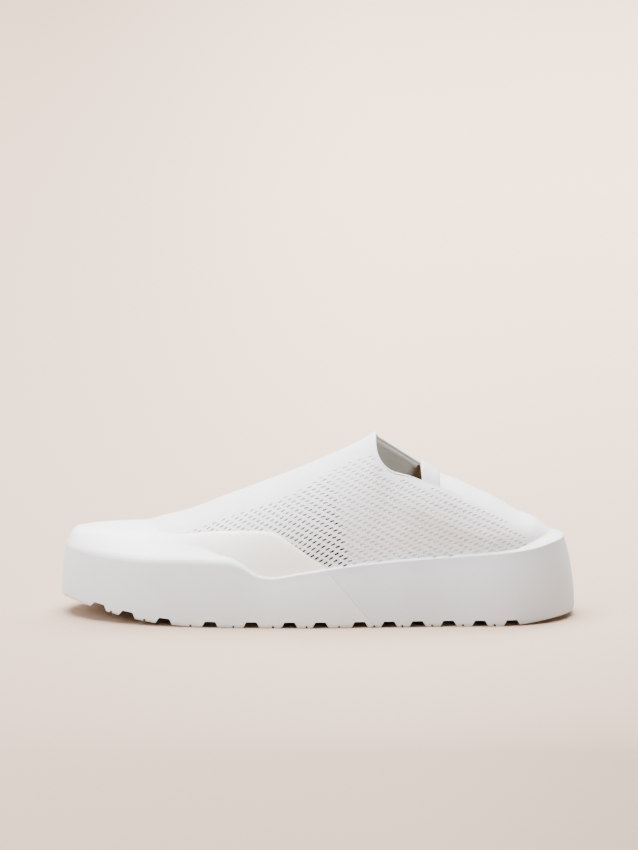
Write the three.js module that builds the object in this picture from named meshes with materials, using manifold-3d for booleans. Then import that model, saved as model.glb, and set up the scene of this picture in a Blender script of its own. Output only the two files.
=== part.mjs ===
// A slip-on knit clog for the left foot: a moulded cup sole in two parts, a hollow knit upper with a film
// bonded round its toe, and an elastic heel panel that is folded forward and ends in a ribbed band.
// Millimetres, +Z up. The toe points along -X, the outer (lateral) side of the foot is -Y and the sole
// stands on Z = 0. The origin is under the middle of the shoe.
import * as THREE from 'three';
import { mergeVertices } from 'three/addons/utils/BufferGeometryUtils.js';
import Module from 'manifold-3d';

// Driving dimensions
const LENGTH = 300; // over the sole, toe to heel
const BALL_WIDTH = 105; // top edge of the sole's wall at the ball of the foot
const HEEL_WIDTH = 82; // top edge of the sole's wall at the heel
const COLLAR_HEIGHT = 108; // crest of the upper at the front of the mouth
const WALL_HEIGHT = 46.5; // sole's wall at the back of the heel
const FLOOR_HEIGHT = 27; // floor of the cup under the heel
const TOE_SPRING = 10.7; // rise of the sole's underside at the toe
const HEEL_BEVEL = 3; // rise of the sole's underside at the heel
const TOE_FLARE = 2.7; // how far the foot of the wall stands outside its top edge
const HEEL_FLARE = 6.4;
const SOLE_TUCK = 1.2; // how far the tread edge draws in below the widest line
const TREAD_EDGE = 3.2; // height of that draw-in
const RIM_WIDTH = 4.6; // ledge between the wall's top edge and the upper at the heel
const SHOULDER = 4.5; // rounding of the wall's top edge over the forefoot
const TOE_ROUND = 62; // length of the toe's rounded end in plan
const HEEL_ROUND = 43; // the same at the heel
const TOE_BLUNT = 7.5; // length over which the upper rises at the toe
const HEEL_BLUNT = 7.5; // the same at the heel
const UPPER_WALL = 1.5;
const FILM_WALL = 0.7; // bonded film round the toe
const PANEL_WALL = 1.6;
const BAND_WALL = 2.4;
const PANEL_RECESS = 1.2; // how far the folded panel lies below the upper's rim
const INSOLE_THICKNESS = 4.5;
const FIT = 0.3; // clearance wherever two pieces meet
const LUG_GAP = 10; // width of a tread groove at the ground
const LUG_GAP_ROOF = 5.9; // width of its roof
const LUG_DEPTH = 3.6;
const CHANNEL_WIDTH = 7; // channel along the middle of the tread
const CHANNEL_DEPTH = 2.6;
const SEAM_LEAN = 0.867; // the sole's seam runs this far back for each millimetre down

// The top edge of the sole's wall in plan. lateral and medial are shares of half the local reference width,
// which goes from the ball's to the heel's, and swing moves the middle towards the medial side, as a share of
// half the ball width. rim is a share of RIM_WIDTH.
const OUTLINE = [
  { at: 0.0, lateral: 0.8, medial: 0.9, swing: 0.14, rim: 0.16 },
  { at: 0.1, lateral: 0.86, medial: 0.94, swing: 0.1, rim: 0.34 },
  { at: 0.2, lateral: 0.93, medial: 0.98, swing: 0.05, rim: 0.5 },
  { at: 0.33, lateral: 0.99, medial: 1.01, swing: 0.01, rim: 0.55 },
  { at: 0.45, lateral: 1.0, medial: 0.94, swing: 0.0, rim: 0.55 },
  { at: 0.6, lateral: 1.03, medial: 0.855, swing: 0.0, rim: 0.58 },
  { at: 0.7, lateral: 1.085, medial: 0.88, swing: 0.0, rim: 0.62 },
  { at: 0.8, lateral: 1.085, medial: 0.915, swing: 0.0, rim: 0.7 },
  { at: 0.9, lateral: 1.06, medial: 0.91, swing: 0.0, rim: 0.85 },
  { at: 1.0, lateral: 1.02, medial: 0.89, swing: 0.0, rim: 1.0 },
];

// The upper's sections. crest is the height of the middle as a share of COLLAR_HEIGHT, spring the height
// where the side starts to lean in as a share of WALL_HEIGHT, ridge the place of the crest between the two
// sides, and outer and inner the roundness of the section's lateral and medial halves.
const SECTIONS = [
  { at: 0.0, crest: 0.458, spring: 0.645, ridge: 0.5, outer: 2.6, inner: 2.6 },
  { at: 0.06, crest: 0.474, spring: 0.62, ridge: 0.5, outer: 2.6, inner: 2.6 },
  { at: 0.15, crest: 0.488, spring: 0.59, ridge: 0.51, outer: 2.5, inner: 2.5 },
  { at: 0.19, crest: 0.52, spring: 0.58, ridge: 0.52, outer: 2.4, inner: 2.4 },
  { at: 0.24, crest: 0.556, spring: 0.57, ridge: 0.53, outer: 2.3, inner: 2.3 },
  { at: 0.32, crest: 0.641, spring: 0.55, ridge: 0.54, outer: 2.1, inner: 2.2 },
  { at: 0.39, crest: 0.715, spring: 0.545, ridge: 0.54, outer: 2.0, inner: 2.1 },
  { at: 0.455, crest: 0.785, spring: 0.555, ridge: 0.54, outer: 1.9, inner: 2.05 },
  { at: 0.52, crest: 0.862, spring: 0.58, ridge: 0.53, outer: 1.85, inner: 2.05 },
  { at: 0.575, crest: 0.932, spring: 0.6, ridge: 0.52, outer: 1.85, inner: 2.1 },
  { at: 0.604, crest: 0.973, spring: 0.615, ridge: 0.51, outer: 1.85, inner: 2.35 },
  { at: 0.621, crest: 1.0, spring: 0.62, ridge: 0.51, outer: 1.85, inner: 2.6 },
  { at: 0.655, crest: 0.942, spring: 0.64, ridge: 0.5, outer: 1.95, inner: 3.6 },
  { at: 0.71, crest: 0.842, spring: 0.67, ridge: 0.5, outer: 2.55, inner: 3.9 },
  { at: 0.76, crest: 0.769, spring: 0.7, ridge: 0.5, outer: 3.0, inner: 3.6 },
  { at: 0.84, crest: 0.668, spring: 0.75, ridge: 0.5, outer: 2.85, inner: 3.2 },
  { at: 0.915, crest: 0.564, spring: 0.79, ridge: 0.5, outer: 2.7, inner: 2.8 },
  { at: 0.95, crest: 0.533, spring: 0.81, ridge: 0.5, outer: 2.6, inner: 2.7 },
  { at: 1.0, crest: 0.462, spring: 0.83, ridge: 0.5, outer: 2.6, inner: 2.6 },
];

// The top of the sole's wall as a share of WALL_HEIGHT, and its rounding as a share of SHOULDER.
const WALL = [
  { at: 0.0, top: 0.884, shoulder: 0.33 },
  { at: 0.07, top: 0.88, shoulder: 0.9 },
  { at: 0.15, top: 0.856, shoulder: 1.0 },
  { at: 0.22, top: 0.866, shoulder: 1.0 },
  { at: 0.32, top: 0.852, shoulder: 0.9 },
  { at: 0.353, top: 0.774, shoulder: 0.5 },
  { at: 0.378, top: 0.66, shoulder: 0.25 },
  { at: 0.41, top: 0.611, shoulder: 0.22 },
  { at: 0.47, top: 0.669, shoulder: 0.22 },
  { at: 0.58, top: 0.768, shoulder: 0.22 },
  { at: 0.67, top: 0.819, shoulder: 0.22 },
  { at: 0.795, top: 0.869, shoulder: 0.22 },
  { at: 0.933, top: 0.94, shoulder: 0.25 },
  { at: 1.0, top: 1.0, shoulder: 0.3 },
];

// The sole's underside as shares of TOE_SPRING and HEEL_BEVEL, and the cup's floor as a share of FLOOR_HEIGHT.
const GROUND = [
  { at: 0.0, toe: 1.0, heel: 0.0, floor: 0.93 },
  { at: 0.033, toe: 0.9, heel: 0.0, floor: 0.9 },
  { at: 0.08, toe: 0.64, heel: 0.0, floor: 0.86 },
  { at: 0.138, toe: 0.34, heel: 0.0, floor: 0.81 },
  { at: 0.21, toe: 0.1, heel: 0.0, floor: 0.755 },
  { at: 0.28, toe: 0.0, heel: 0.0, floor: 0.725 },
  { at: 0.4, toe: 0.0, heel: 0.0, floor: 0.72 },
  { at: 0.55, toe: 0.0, heel: 0.0, floor: 0.79 },
  { at: 0.7, toe: 0.0, heel: 0.0, floor: 0.91 },
  { at: 0.87, toe: 0.0, heel: 0.0, floor: 0.985 },
  { at: 1.0, toe: 0.0, heel: 1.0, floor: 1.0 },
];

// The film's upper edge from the side: along is a share of LENGTH from the toe, up a share of COLLAR_HEIGHT.
const FILM_EDGE = [
  { along: 0.173, up: 0.6 },
  { along: 0.178, up: 0.535 },
  { along: 0.189, up: 0.507 },
  { along: 0.207, up: 0.496 },
  { along: 0.238, up: 0.498 },
  { along: 0.3, up: 0.51 },
  { along: 0.39, up: 0.508 },
  { along: 0.411, up: 0.502 },
  { along: 0.424, up: 0.486 },
  { along: 0.468, up: 0.407 },
];
const SEAM_HEAD = 0.725; // height where film edge and sole seam meet, as a share of WALL_HEIGHT
const SEAM_FOOT = 0.613; // the seam at the ground, as a share of LENGTH from the toe

// The mouth and the heel panel in plan, as shares of LENGTH from the toe and of half the heel width.
const MOUTH_FRONT = 0.611;
const BAND_FRONT = 0.701;
const BAND_BACK = 0.737;
const MOUTH_ROUND = 5.6; // roundness of the mouth's front
const RECESS_END = [0.72, 0.86]; // stretch over which the panel comes up flush with the upper
const PANEL_SIDE = [
  { along: BAND_FRONT, lateral: 0.69, medial: 0.51 },
  { along: 0.8, lateral: 0.66, medial: 0.5 },
  { along: 0.896, lateral: 0.74, medial: 0.6 },
  { along: 0.925, lateral: 0.88, medial: 0.76 },
  { along: 0.95, lateral: 1.3, medial: 1.25 },
  { along: 1.1, lateral: 1.5, medial: 1.5 },
];

// The middles of the tread grooves as shares of LENGTH from the toe.
const LUG_GAPS = [0.073, 0.129, 0.201, 0.291, 0.371, 0.445, 0.505, 0.581, 0.638, 0.693, 0.753, 0.814, 0.876];

const STATIONS = 52; // sections from toe to heel
const ARCH_POINTS = 16; // points over the arch of a section
const FINE_STEPS = 64; // steps along a curve before its points are spaced evenly
const MOUTH_STEPS = 9; // steps along each half of the mouth's front
// Corners along the mouth's sides, as shares of LENGTH.
const PANEL_PLACES = [0.75, 0.8, 0.85, 0.896, 0.91, 0.925, 0.937, 0.95, 1.1];
const LEAN_SPAN = 0.01; // share of the length over which the underside's lean is taken
const OVERSHOOT = 20; // how far a cutter runs past what it cuts
const SHORT_OVERSHOOT = 5; // the same where little room is left

const wasm = await Module();
wasm.setup();

// Smooth monotone curve through one column of a table.
function column(table, name, key = 'at') {
  const x = table.map((row) => row[key]);
  const y = table.map((row) => row[name]);
  const slope = x.slice(1).map((value, i) => (y[i + 1] - y[i]) / (value - x[i]));
  const tangent = x.map((_, i) => {
    if (i === 0 || i === x.length - 1) {
      return 0;
    }
    const [before, after] = [slope[i - 1], slope[i]];
    return before * after <= 0 ? 0 : (2 * before * after) / (before + after);
  });
  return (at) => {
    const place = Math.min(Math.max(at, x[0]), x[x.length - 1]);
    let i = 0;
    while (i < x.length - 2 && place > x[i + 1]) {
      i += 1;
    }
    const step = x[i + 1] - x[i];
    const t = (place - x[i]) / step;
    const rise = y[i + 1] - y[i];
    const bend = (t - 1) * tangent[i] * step + t * tangent[i + 1] * step;
    return y[i] + rise * t * t * (3 - 2 * t) + t * (t - 1) * bend;
  };
}

const smooth = THREE.MathUtils.smoothstep;
const mix = THREE.MathUtils.lerp;
const along = (share) => (share - 0.5) * LENGTH;

// Share of the full size at a distance from a rounded end.
function closure(distance, reach, roundness) {
  const left = Math.max(0, 1 - distance / reach);
  return (1 - left ** roundness) ** (1 / roundness);
}

const lateralShare = column(OUTLINE, 'lateral');
const medialShare = column(OUTLINE, 'medial');
const swing = column(OUTLINE, 'swing');
const rimShare = column(OUTLINE, 'rim');
const crest = column(SECTIONS, 'crest');
const spring = column(SECTIONS, 'spring');
const ridge = column(SECTIONS, 'ridge');
const outerRound = column(SECTIONS, 'outer');
const innerRound = column(SECTIONS, 'inner');
const wallTop = column(WALL, 'top');
const shoulder = column(WALL, 'shoulder');
const toeRise = column(GROUND, 'toe');
const heelRise = column(GROUND, 'heel');
const floorShare = column(GROUND, 'floor');

const EDGE_LENGTH = LENGTH - TOE_FLARE - HEEL_FLARE;
const BALL_END = 0.45; // where the reference width starts to change from the ball's to the heel's
const HEEL_START = 0.8;
const TOE_PLAN_ROUND = 2.3;
const HEEL_PLAN_ROUND = 2.2;
const BLUNT_ROUND = 2.8;

const stationAt = Array.from({ length: STATIONS + 1 }, (_, i) => (1 - Math.cos((Math.PI * i) / STATIONS)) / 2);
const edgeX = (at) => TOE_FLARE - LENGTH / 2 + at * EDGE_LENGTH;
const flare = (at) => mix(TOE_FLARE, HEEL_FLARE, at);
const groundZ = (at) => TOE_SPRING * toeRise(at) + HEEL_BEVEL * heelRise(at);
const floorZ = (at) => FLOOR_HEIGHT * floorShare(at);
const wallZ = (at) => WALL_HEIGHT * wallTop(at);

// One point of the wall's top edge before it is centred. side is -1 lateral, +1 medial.
function edgePoint(at, side) {
  const half = mix(BALL_WIDTH, HEEL_WIDTH, smooth(at, BALL_END, HEEL_START)) / 2;
  const share = side < 0 ? lateralShare(at) : medialShare(at);
  const toe = closure(at * EDGE_LENGTH, TOE_ROUND, TOE_PLAN_ROUND);
  const heel = closure((1 - at) * EDGE_LENGTH, HEEL_ROUND, HEEL_PLAN_ROUND);
  return new THREE.Vector2(edgeX(at), (swing(at) * BALL_WIDTH) / 2 + side * half * share * toe * heel);
}

// The whole edge as one closed walk, lateral side first, with the outward direction at each point.
const walk = [];
for (let i = 0; i <= STATIONS; i += 1) {
  walk.push(edgePoint(stationAt[i], -1));
}
for (let i = STATIONS - 1; i > 0; i -= 1) {
  walk.push(edgePoint(stationAt[i], 1));
}

// Outward directions of a closed walk that runs anticlockwise.
function outward(points) {
  return points.map((_, i) => {
    const before = points[(i + points.length - 1) % points.length];
    const after = points[(i + 1) % points.length];
    const run = after.clone().sub(before).normalize();
    return new THREE.Vector2(run.y, -run.x);
  });
}
const walkOut = outward(walk);
const walkIndex = (i, side) => (side < 0 || i === 0 ? i : 2 * STATIONS - i);

// The edge moved outwards by a distance at one station and side.
function rawEdge(i, side, out) {
  const index = walkIndex(i, side);
  return walk[index].clone().addScaledVector(walkOut[index], out);
}
const reach = stationAt.flatMap((at, i) => [rawEdge(i, -1, flare(at)).y, rawEdge(i, 1, flare(at)).y]);
const MIDDLE = (Math.min(...reach) + Math.max(...reach)) / 2;

function edge(i, side, out) {
  const point = rawEdge(i, side, out);
  return point.setY(point.y - MIDDLE);
}

// Half of a rounded arch as evenly spaced points, from the side (x 1, y 0) to the crest (x 0, y 1).
function quarter(halfWidth, height, roundness, count) {
  const points = [];
  for (let i = 0; i <= FINE_STEPS; i += 1) {
    const angle = (Math.PI * i) / FINE_STEPS / 2;
    points.push(new THREE.Vector2(Math.cos(angle) ** (2 / roundness), Math.sin(angle) ** (2 / roundness)));
  }
  const lengths = [0];
  for (let i = 1; i <= FINE_STEPS; i += 1) {
    const across = (points[i].x - points[i - 1].x) * halfWidth;
    const up = (points[i].y - points[i - 1].y) * height;
    lengths.push(lengths[i - 1] + Math.hypot(across, up));
  }
  const result = [];
  let i = 0;
  for (let k = 0; k <= count; k += 1) {
    const wanted = (lengths[FINE_STEPS] * k) / count;
    while (i < FINE_STEPS - 1 && lengths[i + 1] < wanted) {
      i += 1;
    }
    const t = (wanted - lengths[i]) / Math.max(lengths[i + 1] - lengths[i], 1e-9);
    result.push(points[i].clone().lerp(points[i + 1], Math.min(t, 1)));
  }
  return result;
}

// The outermost surface of the upper as a grid of points, station by station, lateral to medial.
function skinGrid() {
  return stationAt.map((at, i) => {
    const lateral = edge(i, -1, -RIM_WIDTH * rimShare(at));
    const medial = edge(i, 1, -RIM_WIDTH * rimShare(at));
    const middle = lateral.clone().lerp(medial, ridge(at));
    const base = WALL_HEIGHT * spring(at);
    const toe = closure(at * EDGE_LENGTH, TOE_BLUNT, BLUNT_ROUND);
    const heel = closure((1 - at) * EDGE_LENGTH, HEEL_BLUNT, BLUNT_ROUND);
    const rise = (COLLAR_HEIGHT * crest(at) - base) * toe * heel;
    const half = ARCH_POINTS / 2;
    const rows = [];
    const sides = [
      [lateral, outerRound(at)],
      [medial, innerRound(at)],
    ];
    sides.forEach(([foot, roundness], side) => {
      const arch = quarter(foot.distanceTo(middle), rise, roundness, half).map((point) => {
        const flat = middle.clone().lerp(foot, point.x);
        return new THREE.Vector3(flat.x, flat.y, base + rise * point.y);
      });
      rows.push(...(side === 0 ? arch : arch.slice(0, half).reverse()));
    });
    return rows;
  });
}
const skin = skinGrid();

// Outward directions of the skin. Its feet and its two ends look straight out of the outline.
const skinOut = skin.map((row, i) =>
  row.map((_, k) => {
    const side = k < ARCH_POINTS / 2 ? -1 : 1;
    if (i === 0 || i === STATIONS || k === 0 || k === ARCH_POINTS) {
      const flat = walkOut[walkIndex(i, side)];
      return new THREE.Vector3(flat.x, flat.y, 0);
    }
    const lengthwise = skin[i + 1][k].clone().sub(skin[i - 1][k]);
    const across = skin[i][k + 1].clone().sub(skin[i][k - 1]);
    return lengthwise.cross(across).normalize();
  }),
);

// A closed solid through rings of points. Rings that shrink to a line or a point close the ends.
function loft(rings) {
  const positions = rings.flat().flatMap((point) => [point.x, point.y, point.z]);
  const count = rings[0].length;
  const faces = [];
  for (let i = 0; i < rings.length - 1; i += 1) {
    for (let j = 0; j < count; j += 1) {
      const next = (j + 1) % count;
      const [a, b, c, d] = [i * count + j, (i + 1) * count + j, (i + 1) * count + next, i * count + next];
      faces.push(a, b, c, a, c, d);
    }
  }
  const geometry = new THREE.BufferGeometry();
  geometry.setAttribute('position', new THREE.Float32BufferAttribute(positions, 3));
  geometry.setIndex(faces);
  return solid(geometry);
}

// A manifold solid from a closed geometry, with its faces turned outwards.
function solid(geometry) {
  geometry.deleteAttribute('normal');
  geometry.deleteAttribute('uv');
  const merged = mergeVertices(geometry, 1e-4);
  const points = merged.attributes.position.array;
  const index = merged.index.array;
  const corners = [];
  let volume = 0;
  const corner = (i) => new THREE.Vector3().fromArray(points, 3 * i);
  for (let i = 0; i < index.length; i += 3) {
    const [a, b, c] = [index[i], index[i + 1], index[i + 2]];
    if (a !== b && b !== c && c !== a) {
      corners.push(a, b, c);
      volume += corner(a).dot(corner(b).cross(corner(c)));
    }
  }
  if (volume < 0) {
    corners.reverse();
  }
  const mesh = new wasm.Mesh({
    numProp: 3,
    vertProperties: new Float32Array(points),
    triVerts: new Uint32Array(corners),
  });
  return new wasm.Manifold(mesh);
}

// The upper's form grown or shrunk by a distance for each station, with straight sides down to a height.
function form(out, foot) {
  const rings = skin.map((row, i) => {
    const at = stationAt[i];
    const arch = row.map((point, k) => point.clone().addScaledVector(skinOut[i][k], out(at)));
    const low = foot(at);
    const first = arch[0].clone().setZ(low);
    const last = arch[ARCH_POINTS].clone().setZ(low);
    return [first, ...arch, last];
  });
  return loft(rings);
}

// A block between two heights whose side is the outline moved by a distance at each level.
function block(levels) {
  const rings = stationAt.map((at, i) => {
    const side = (which) => levels.map((level) => {
      const { out, z } = level(at);
      const flat = edge(i, which, out);
      return new THREE.Vector3(flat.x, flat.y, z);
    });
    return [...side(-1), ...side(1).reverse()];
  });
  return loft(rings);
}

// A straight cutter from an outline in plan, or in side view with its depth across the shoe.
function cutter(points, view, low, high) {
  const shape = new THREE.Shape(points);
  const geometry = new THREE.ExtrudeGeometry(shape, { depth: high - low, bevelEnabled: false });
  geometry.translate(0, 0, low);
  if (view === 'side') {
    geometry.rotateX(Math.PI / 2);
  }
  return solid(geometry);
}
const point2 = (x, y) => new THREE.Vector2(x, y);
const SIDE_REACH = BALL_WIDTH;
const sideCutter = (points) => cutter(points, 'side', -SIDE_REACH, SIDE_REACH);
const planCutter = (points) => cutter(points, 'plan', -OVERSHOOT, COLLAR_HEIGHT + OVERSHOOT);

// A closed outline moved outwards by a distance.
function grown(points, by) {
  const out = outward(points);
  return points.map((point, i) => point.clone().addScaledVector(out[i], by));
}

// Height of the wall's surface above its foot as a share, and how much of the flare is left there.
const FLARE_CURVE = 2.2;
const flareAt = (at, share) => flare(at) * (1 - share ** FLARE_CURVE);
const MID_WALL = 0.5;
const ARC_MIDDLE = 1 - Math.SQRT1_2;

function shoulderLevel(down, inwards) {
  return (at) => {
    const radius = SHOULDER * shoulder(at);
    const height = wallZ(at) - groundZ(at);
    return {
      out: flareAt(at, (height - radius) / height) - radius * inwards,
      z: wallZ(at) - radius * down,
    };
  };
}

const soleBlock = block([
  (at) => ({ out: flare(at) - SOLE_TUCK, z: groundZ(at) }),
  (at) => ({ out: flare(at), z: groundZ(at) + TREAD_EDGE }),
  (at) => ({ out: flareAt(at, MID_WALL), z: mix(groundZ(at), wallZ(at), MID_WALL) }),
  shoulderLevel(1, 0),
  shoulderLevel(ARC_MIDDLE, ARC_MIDDLE),
  shoulderLevel(0, 1),
]);

// Tread grooves across the sole, each square to the underside where it lies, and a channel along the middle.
function lugGap(share) {
  const rise = groundZ(share + LEAN_SPAN) - groundZ(share - LEAN_SPAN);
  const lean = Math.atan2(rise, 2 * LEAN_SPAN * LENGTH);
  const low = -SHORT_OVERSHOOT;
  const foot = LUG_GAP / 2 + ((LUG_GAP - LUG_GAP_ROOF) / 2) * (-low / LUG_DEPTH);
  const points = [
    point2(-foot, low),
    point2(foot, low),
    point2(LUG_GAP_ROOF / 2, LUG_DEPTH),
    point2(-LUG_GAP_ROOF / 2, LUG_DEPTH),
  ];
  const centre = point2(along(share), groundZ(share));
  return sideCutter(points.map((point) => point.rotateAround(point2(0, 0), lean).add(centre)));
}
const CHANNEL_ENDS = [0.291, 0.814]; // grooves that the channel runs between
function channel() {
  const [front, back] = CHANNEL_ENDS.map(along);
  const half = CHANNEL_WIDTH / 2;
  const outline = [point2(front, -half), point2(back, -half), point2(back, half), point2(front, half)];
  return cutter(outline, 'plan', -OVERSHOOT, CHANNEL_DEPTH);
}
const tread = LUG_GAPS.map(lugGap).reduce((all, gap) => all.add(gap), channel());

// The seam that parts the sole, seen from the side, moved along the shoe by half the gap.
const seamX = (z) => along(SEAM_FOOT) - SEAM_LEAN * z;
const SEAM_GAP = FIT * Math.hypot(1, SEAM_LEAN);
function sole(side) {
  const top = WALL_HEIGHT + OVERSHOOT;
  const shift = (side * SEAM_GAP) / 2;
  const end = side * LENGTH;
  return sideCutter([
    point2(seamX(-OVERSHOOT) + shift, -OVERSHOOT),
    point2(end, -OVERSHOOT),
    point2(end, top),
    point2(seamX(top) + shift, top),
  ]);
}

// Offsets of the layers from the skin.
const recess = (at) => PANEL_RECESS * (1 - smooth(at, RECESS_END[0], RECESS_END[1]));
const filmIn = () => -FILM_WALL;
const upperOut = () => -FILM_WALL - FIT;
const upperIn = () => -FILM_WALL - FIT - UPPER_WALL;
const panelOut = (at) => -FILM_WALL - FIT - recess(at);
const panelIn = (at) => panelOut(at) - PANEL_WALL;
const bandIn = (at) => panelOut(at) - BAND_WALL;
const footZ = (at) => floorZ(at) + FIT;
const throughZ = (at) => floorZ(at) - SHORT_OVERSHOOT;

const soleFront = soleBlock.intersect(sole(-1)).subtract(tread).subtract(form(() => FIT, floorZ));
const soleRear = soleBlock.intersect(sole(1)).subtract(tread).subtract(form(filmIn, floorZ));

// The mouth and panel opening in plan, with a rounded front.
const lateralSide = column(PANEL_SIDE, 'lateral', 'along');
const medialSide = column(PANEL_SIDE, 'medial', 'along');
const sideY = (share, side) => (side * HEEL_WIDTH * (side < 0 ? lateralSide : medialSide)(share)) / 2;
function mouthOutline() {
  const frontX = along(MOUTH_FRONT);
  const backX = along(BAND_FRONT);
  const front = (side) => (i) => {
    const angle = (Math.PI / 2) * (i / MOUTH_STEPS);
    const x = backX - (backX - frontX) * Math.cos(angle) ** (2 / MOUTH_ROUND);
    return point2(x, sideY(BAND_FRONT, side) * Math.sin(angle) ** (2 / MOUTH_ROUND));
  };
  const steps = Array.from({ length: MOUTH_STEPS + 1 }, (_, i) => i);
  return [
    ...steps.slice(1).map(front(-1)),
    ...PANEL_PLACES.map((share) => point2(along(share), sideY(share, -1))),
    ...PANEL_PLACES.map((share) => point2(along(share), sideY(share, 1))).reverse(),
    ...steps.reverse().map(front(1)),
  ];
}
const mouth = mouthOutline();

const upper = form(upperOut, footZ).subtract(form(upperIn, throughZ)).subtract(planCutter(mouth));

// The film from its upper edge forwards, ended by the sole's seam inside the cup.
function filmRegion() {
  const edgePoints = FILM_EDGE.map((row) => point2(along(row.along), row.up * COLLAR_HEIGHT));
  const head = SEAM_HEAD * WALL_HEIGHT;
  const high = COLLAR_HEIGHT + OVERSHOOT;
  return [
    point2(-LENGTH, -OVERSHOOT),
    point2(seamX(-OVERSHOOT) - SEAM_GAP, -OVERSHOOT),
    point2(seamX(head) - SEAM_GAP, head),
    ...edgePoints.reverse(),
    point2(along(FILM_EDGE[0].along), high),
    point2(-LENGTH, high),
  ];
}
const toeFilm = form(() => 0, footZ).subtract(form(filmIn, throughZ)).intersect(sideCutter(filmRegion()));

// What lies inside the mouth's outline from one place along the shoe to another.
function slice(from, to) {
  const wide = SIDE_REACH;
  const box = [point2(from, -wide), point2(to, -wide), point2(to, wide), point2(from, wide)];
  return planCutter(grown(mouth, -FIT)).intersect(planCutter(box));
}
const bandBack = along(BAND_BACK);
const panelShell = form(panelOut, footZ).subtract(form(panelIn, throughZ));
const heelPanel = panelShell.intersect(slice(bandBack + FIT / 2, LENGTH));
const bandShell = form(panelOut, footZ).subtract(form(bandIn, throughZ));
const ribBand = bandShell.intersect(slice(along(BAND_FRONT), bandBack - FIT / 2));

const insoleOut = (at) => -RIM_WIDTH * rimShare(at) - FILM_WALL - Math.max(UPPER_WALL, PANEL_WALL) - 2 * FIT;
const insole = block([
  (at) => ({ out: insoleOut(at), z: footZ(at) }),
  (at) => ({ out: insoleOut(at), z: footZ(at) + INSOLE_THICKNESS }),
]);

// A named mesh from a finished solid.
function piece(name, body, color, roughness) {
  const { vertProperties, triVerts } = body.getMesh();
  const geometry = new THREE.BufferGeometry();
  geometry.setAttribute('position', new THREE.Float32BufferAttribute(vertProperties, 3));
  geometry.setIndex(Array.from(triVerts));
  geometry.computeVertexNormals();
  const mesh = new THREE.Mesh(geometry, new THREE.MeshStandardMaterial({ color, roughness, metalness: 0 }));
  mesh.name = name;
  return mesh;
}

const shoe = new THREE.Group();
shoe.add(
  piece('sole_front', soleFront, 0xd9dbdd, 0.62),
  piece('sole_rear', soleRear, 0xcdd0d4, 0.62),
  piece('insole', insole, 0xb8b0a6, 0.9),
  piece('upper', upper, 0xe9e5df, 0.85),
  piece('toe_film', toeFilm, 0xe6e2da, 0.45),
  piece('heel_panel', heelPanel, 0xe4e1dc, 0.8),
  piece('rib_band', ribBand, 0xdedad3, 0.85),
);

export default shoe;
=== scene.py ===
# Dresses the left slip-on knit clog: a moulded cup sole in two parts, a knit upper with slanted holes, a
# film bonded round the toe, a folded elastic heel panel with a ribbed edge, lining, padded collar and insole.
# The toe points along -X and the outer side of the foot is -Y. Shapes are worked out in millimetres and made
# in metres, from the model's sizes and tables, with a sharper shoulder behind and a lower film edge ahead.
import math

import bmesh
import bpy
import numpy as np
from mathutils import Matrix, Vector
from mathutils.bvhtree import BVHTree
from mathutils.kdtree import KDTree


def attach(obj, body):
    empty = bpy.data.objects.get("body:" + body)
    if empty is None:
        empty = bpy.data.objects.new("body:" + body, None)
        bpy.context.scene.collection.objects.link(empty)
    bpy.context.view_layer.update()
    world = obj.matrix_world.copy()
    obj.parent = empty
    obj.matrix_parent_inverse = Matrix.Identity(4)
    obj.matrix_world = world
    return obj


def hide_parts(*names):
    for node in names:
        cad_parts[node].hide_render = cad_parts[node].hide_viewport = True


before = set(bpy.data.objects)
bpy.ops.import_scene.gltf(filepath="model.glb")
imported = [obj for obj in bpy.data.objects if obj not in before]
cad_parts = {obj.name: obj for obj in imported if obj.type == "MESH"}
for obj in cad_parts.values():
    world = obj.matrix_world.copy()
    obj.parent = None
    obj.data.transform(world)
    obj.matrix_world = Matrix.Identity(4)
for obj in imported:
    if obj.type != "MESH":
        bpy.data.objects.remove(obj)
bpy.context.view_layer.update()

MM = 0.001

# Sizes of the shoe
LENGTH = 300
BALL_WIDTH = 105
HEEL_WIDTH = 82
COLLAR_HEIGHT = 108
WALL_HEIGHT = 46.5
FLOOR_HEIGHT = 27
TOE_SPRING = 10.7
HEEL_BEVEL = 3
TOE_FLARE = 2.7
HEEL_FLARE = 6.4
SOLE_TUCK = 1.2
TREAD_EDGE = 3.2
RIM_WIDTH = 4.6
SHOULDER = 4.5
TOE_ROUND = 62
HEEL_ROUND = 43
TOE_BLUNT = 7.5
HEEL_BLUNT = 7.5
UPPER_WALL = 1.5
FILM_WALL = 0.7
PANEL_WALL = 1.6
BAND_WALL = 2.4
PANEL_RECESS = 1.2
INSOLE_THICKNESS = 4.5
FIT = 0.3
LUG_GAP = 10
LUG_GAP_ROOF = 5.9
LUG_DEPTH = 3.6
CHANNEL_WIDTH = 7
CHANNEL_DEPTH = 2.6
SEAM_LEAN = 0.867

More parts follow.
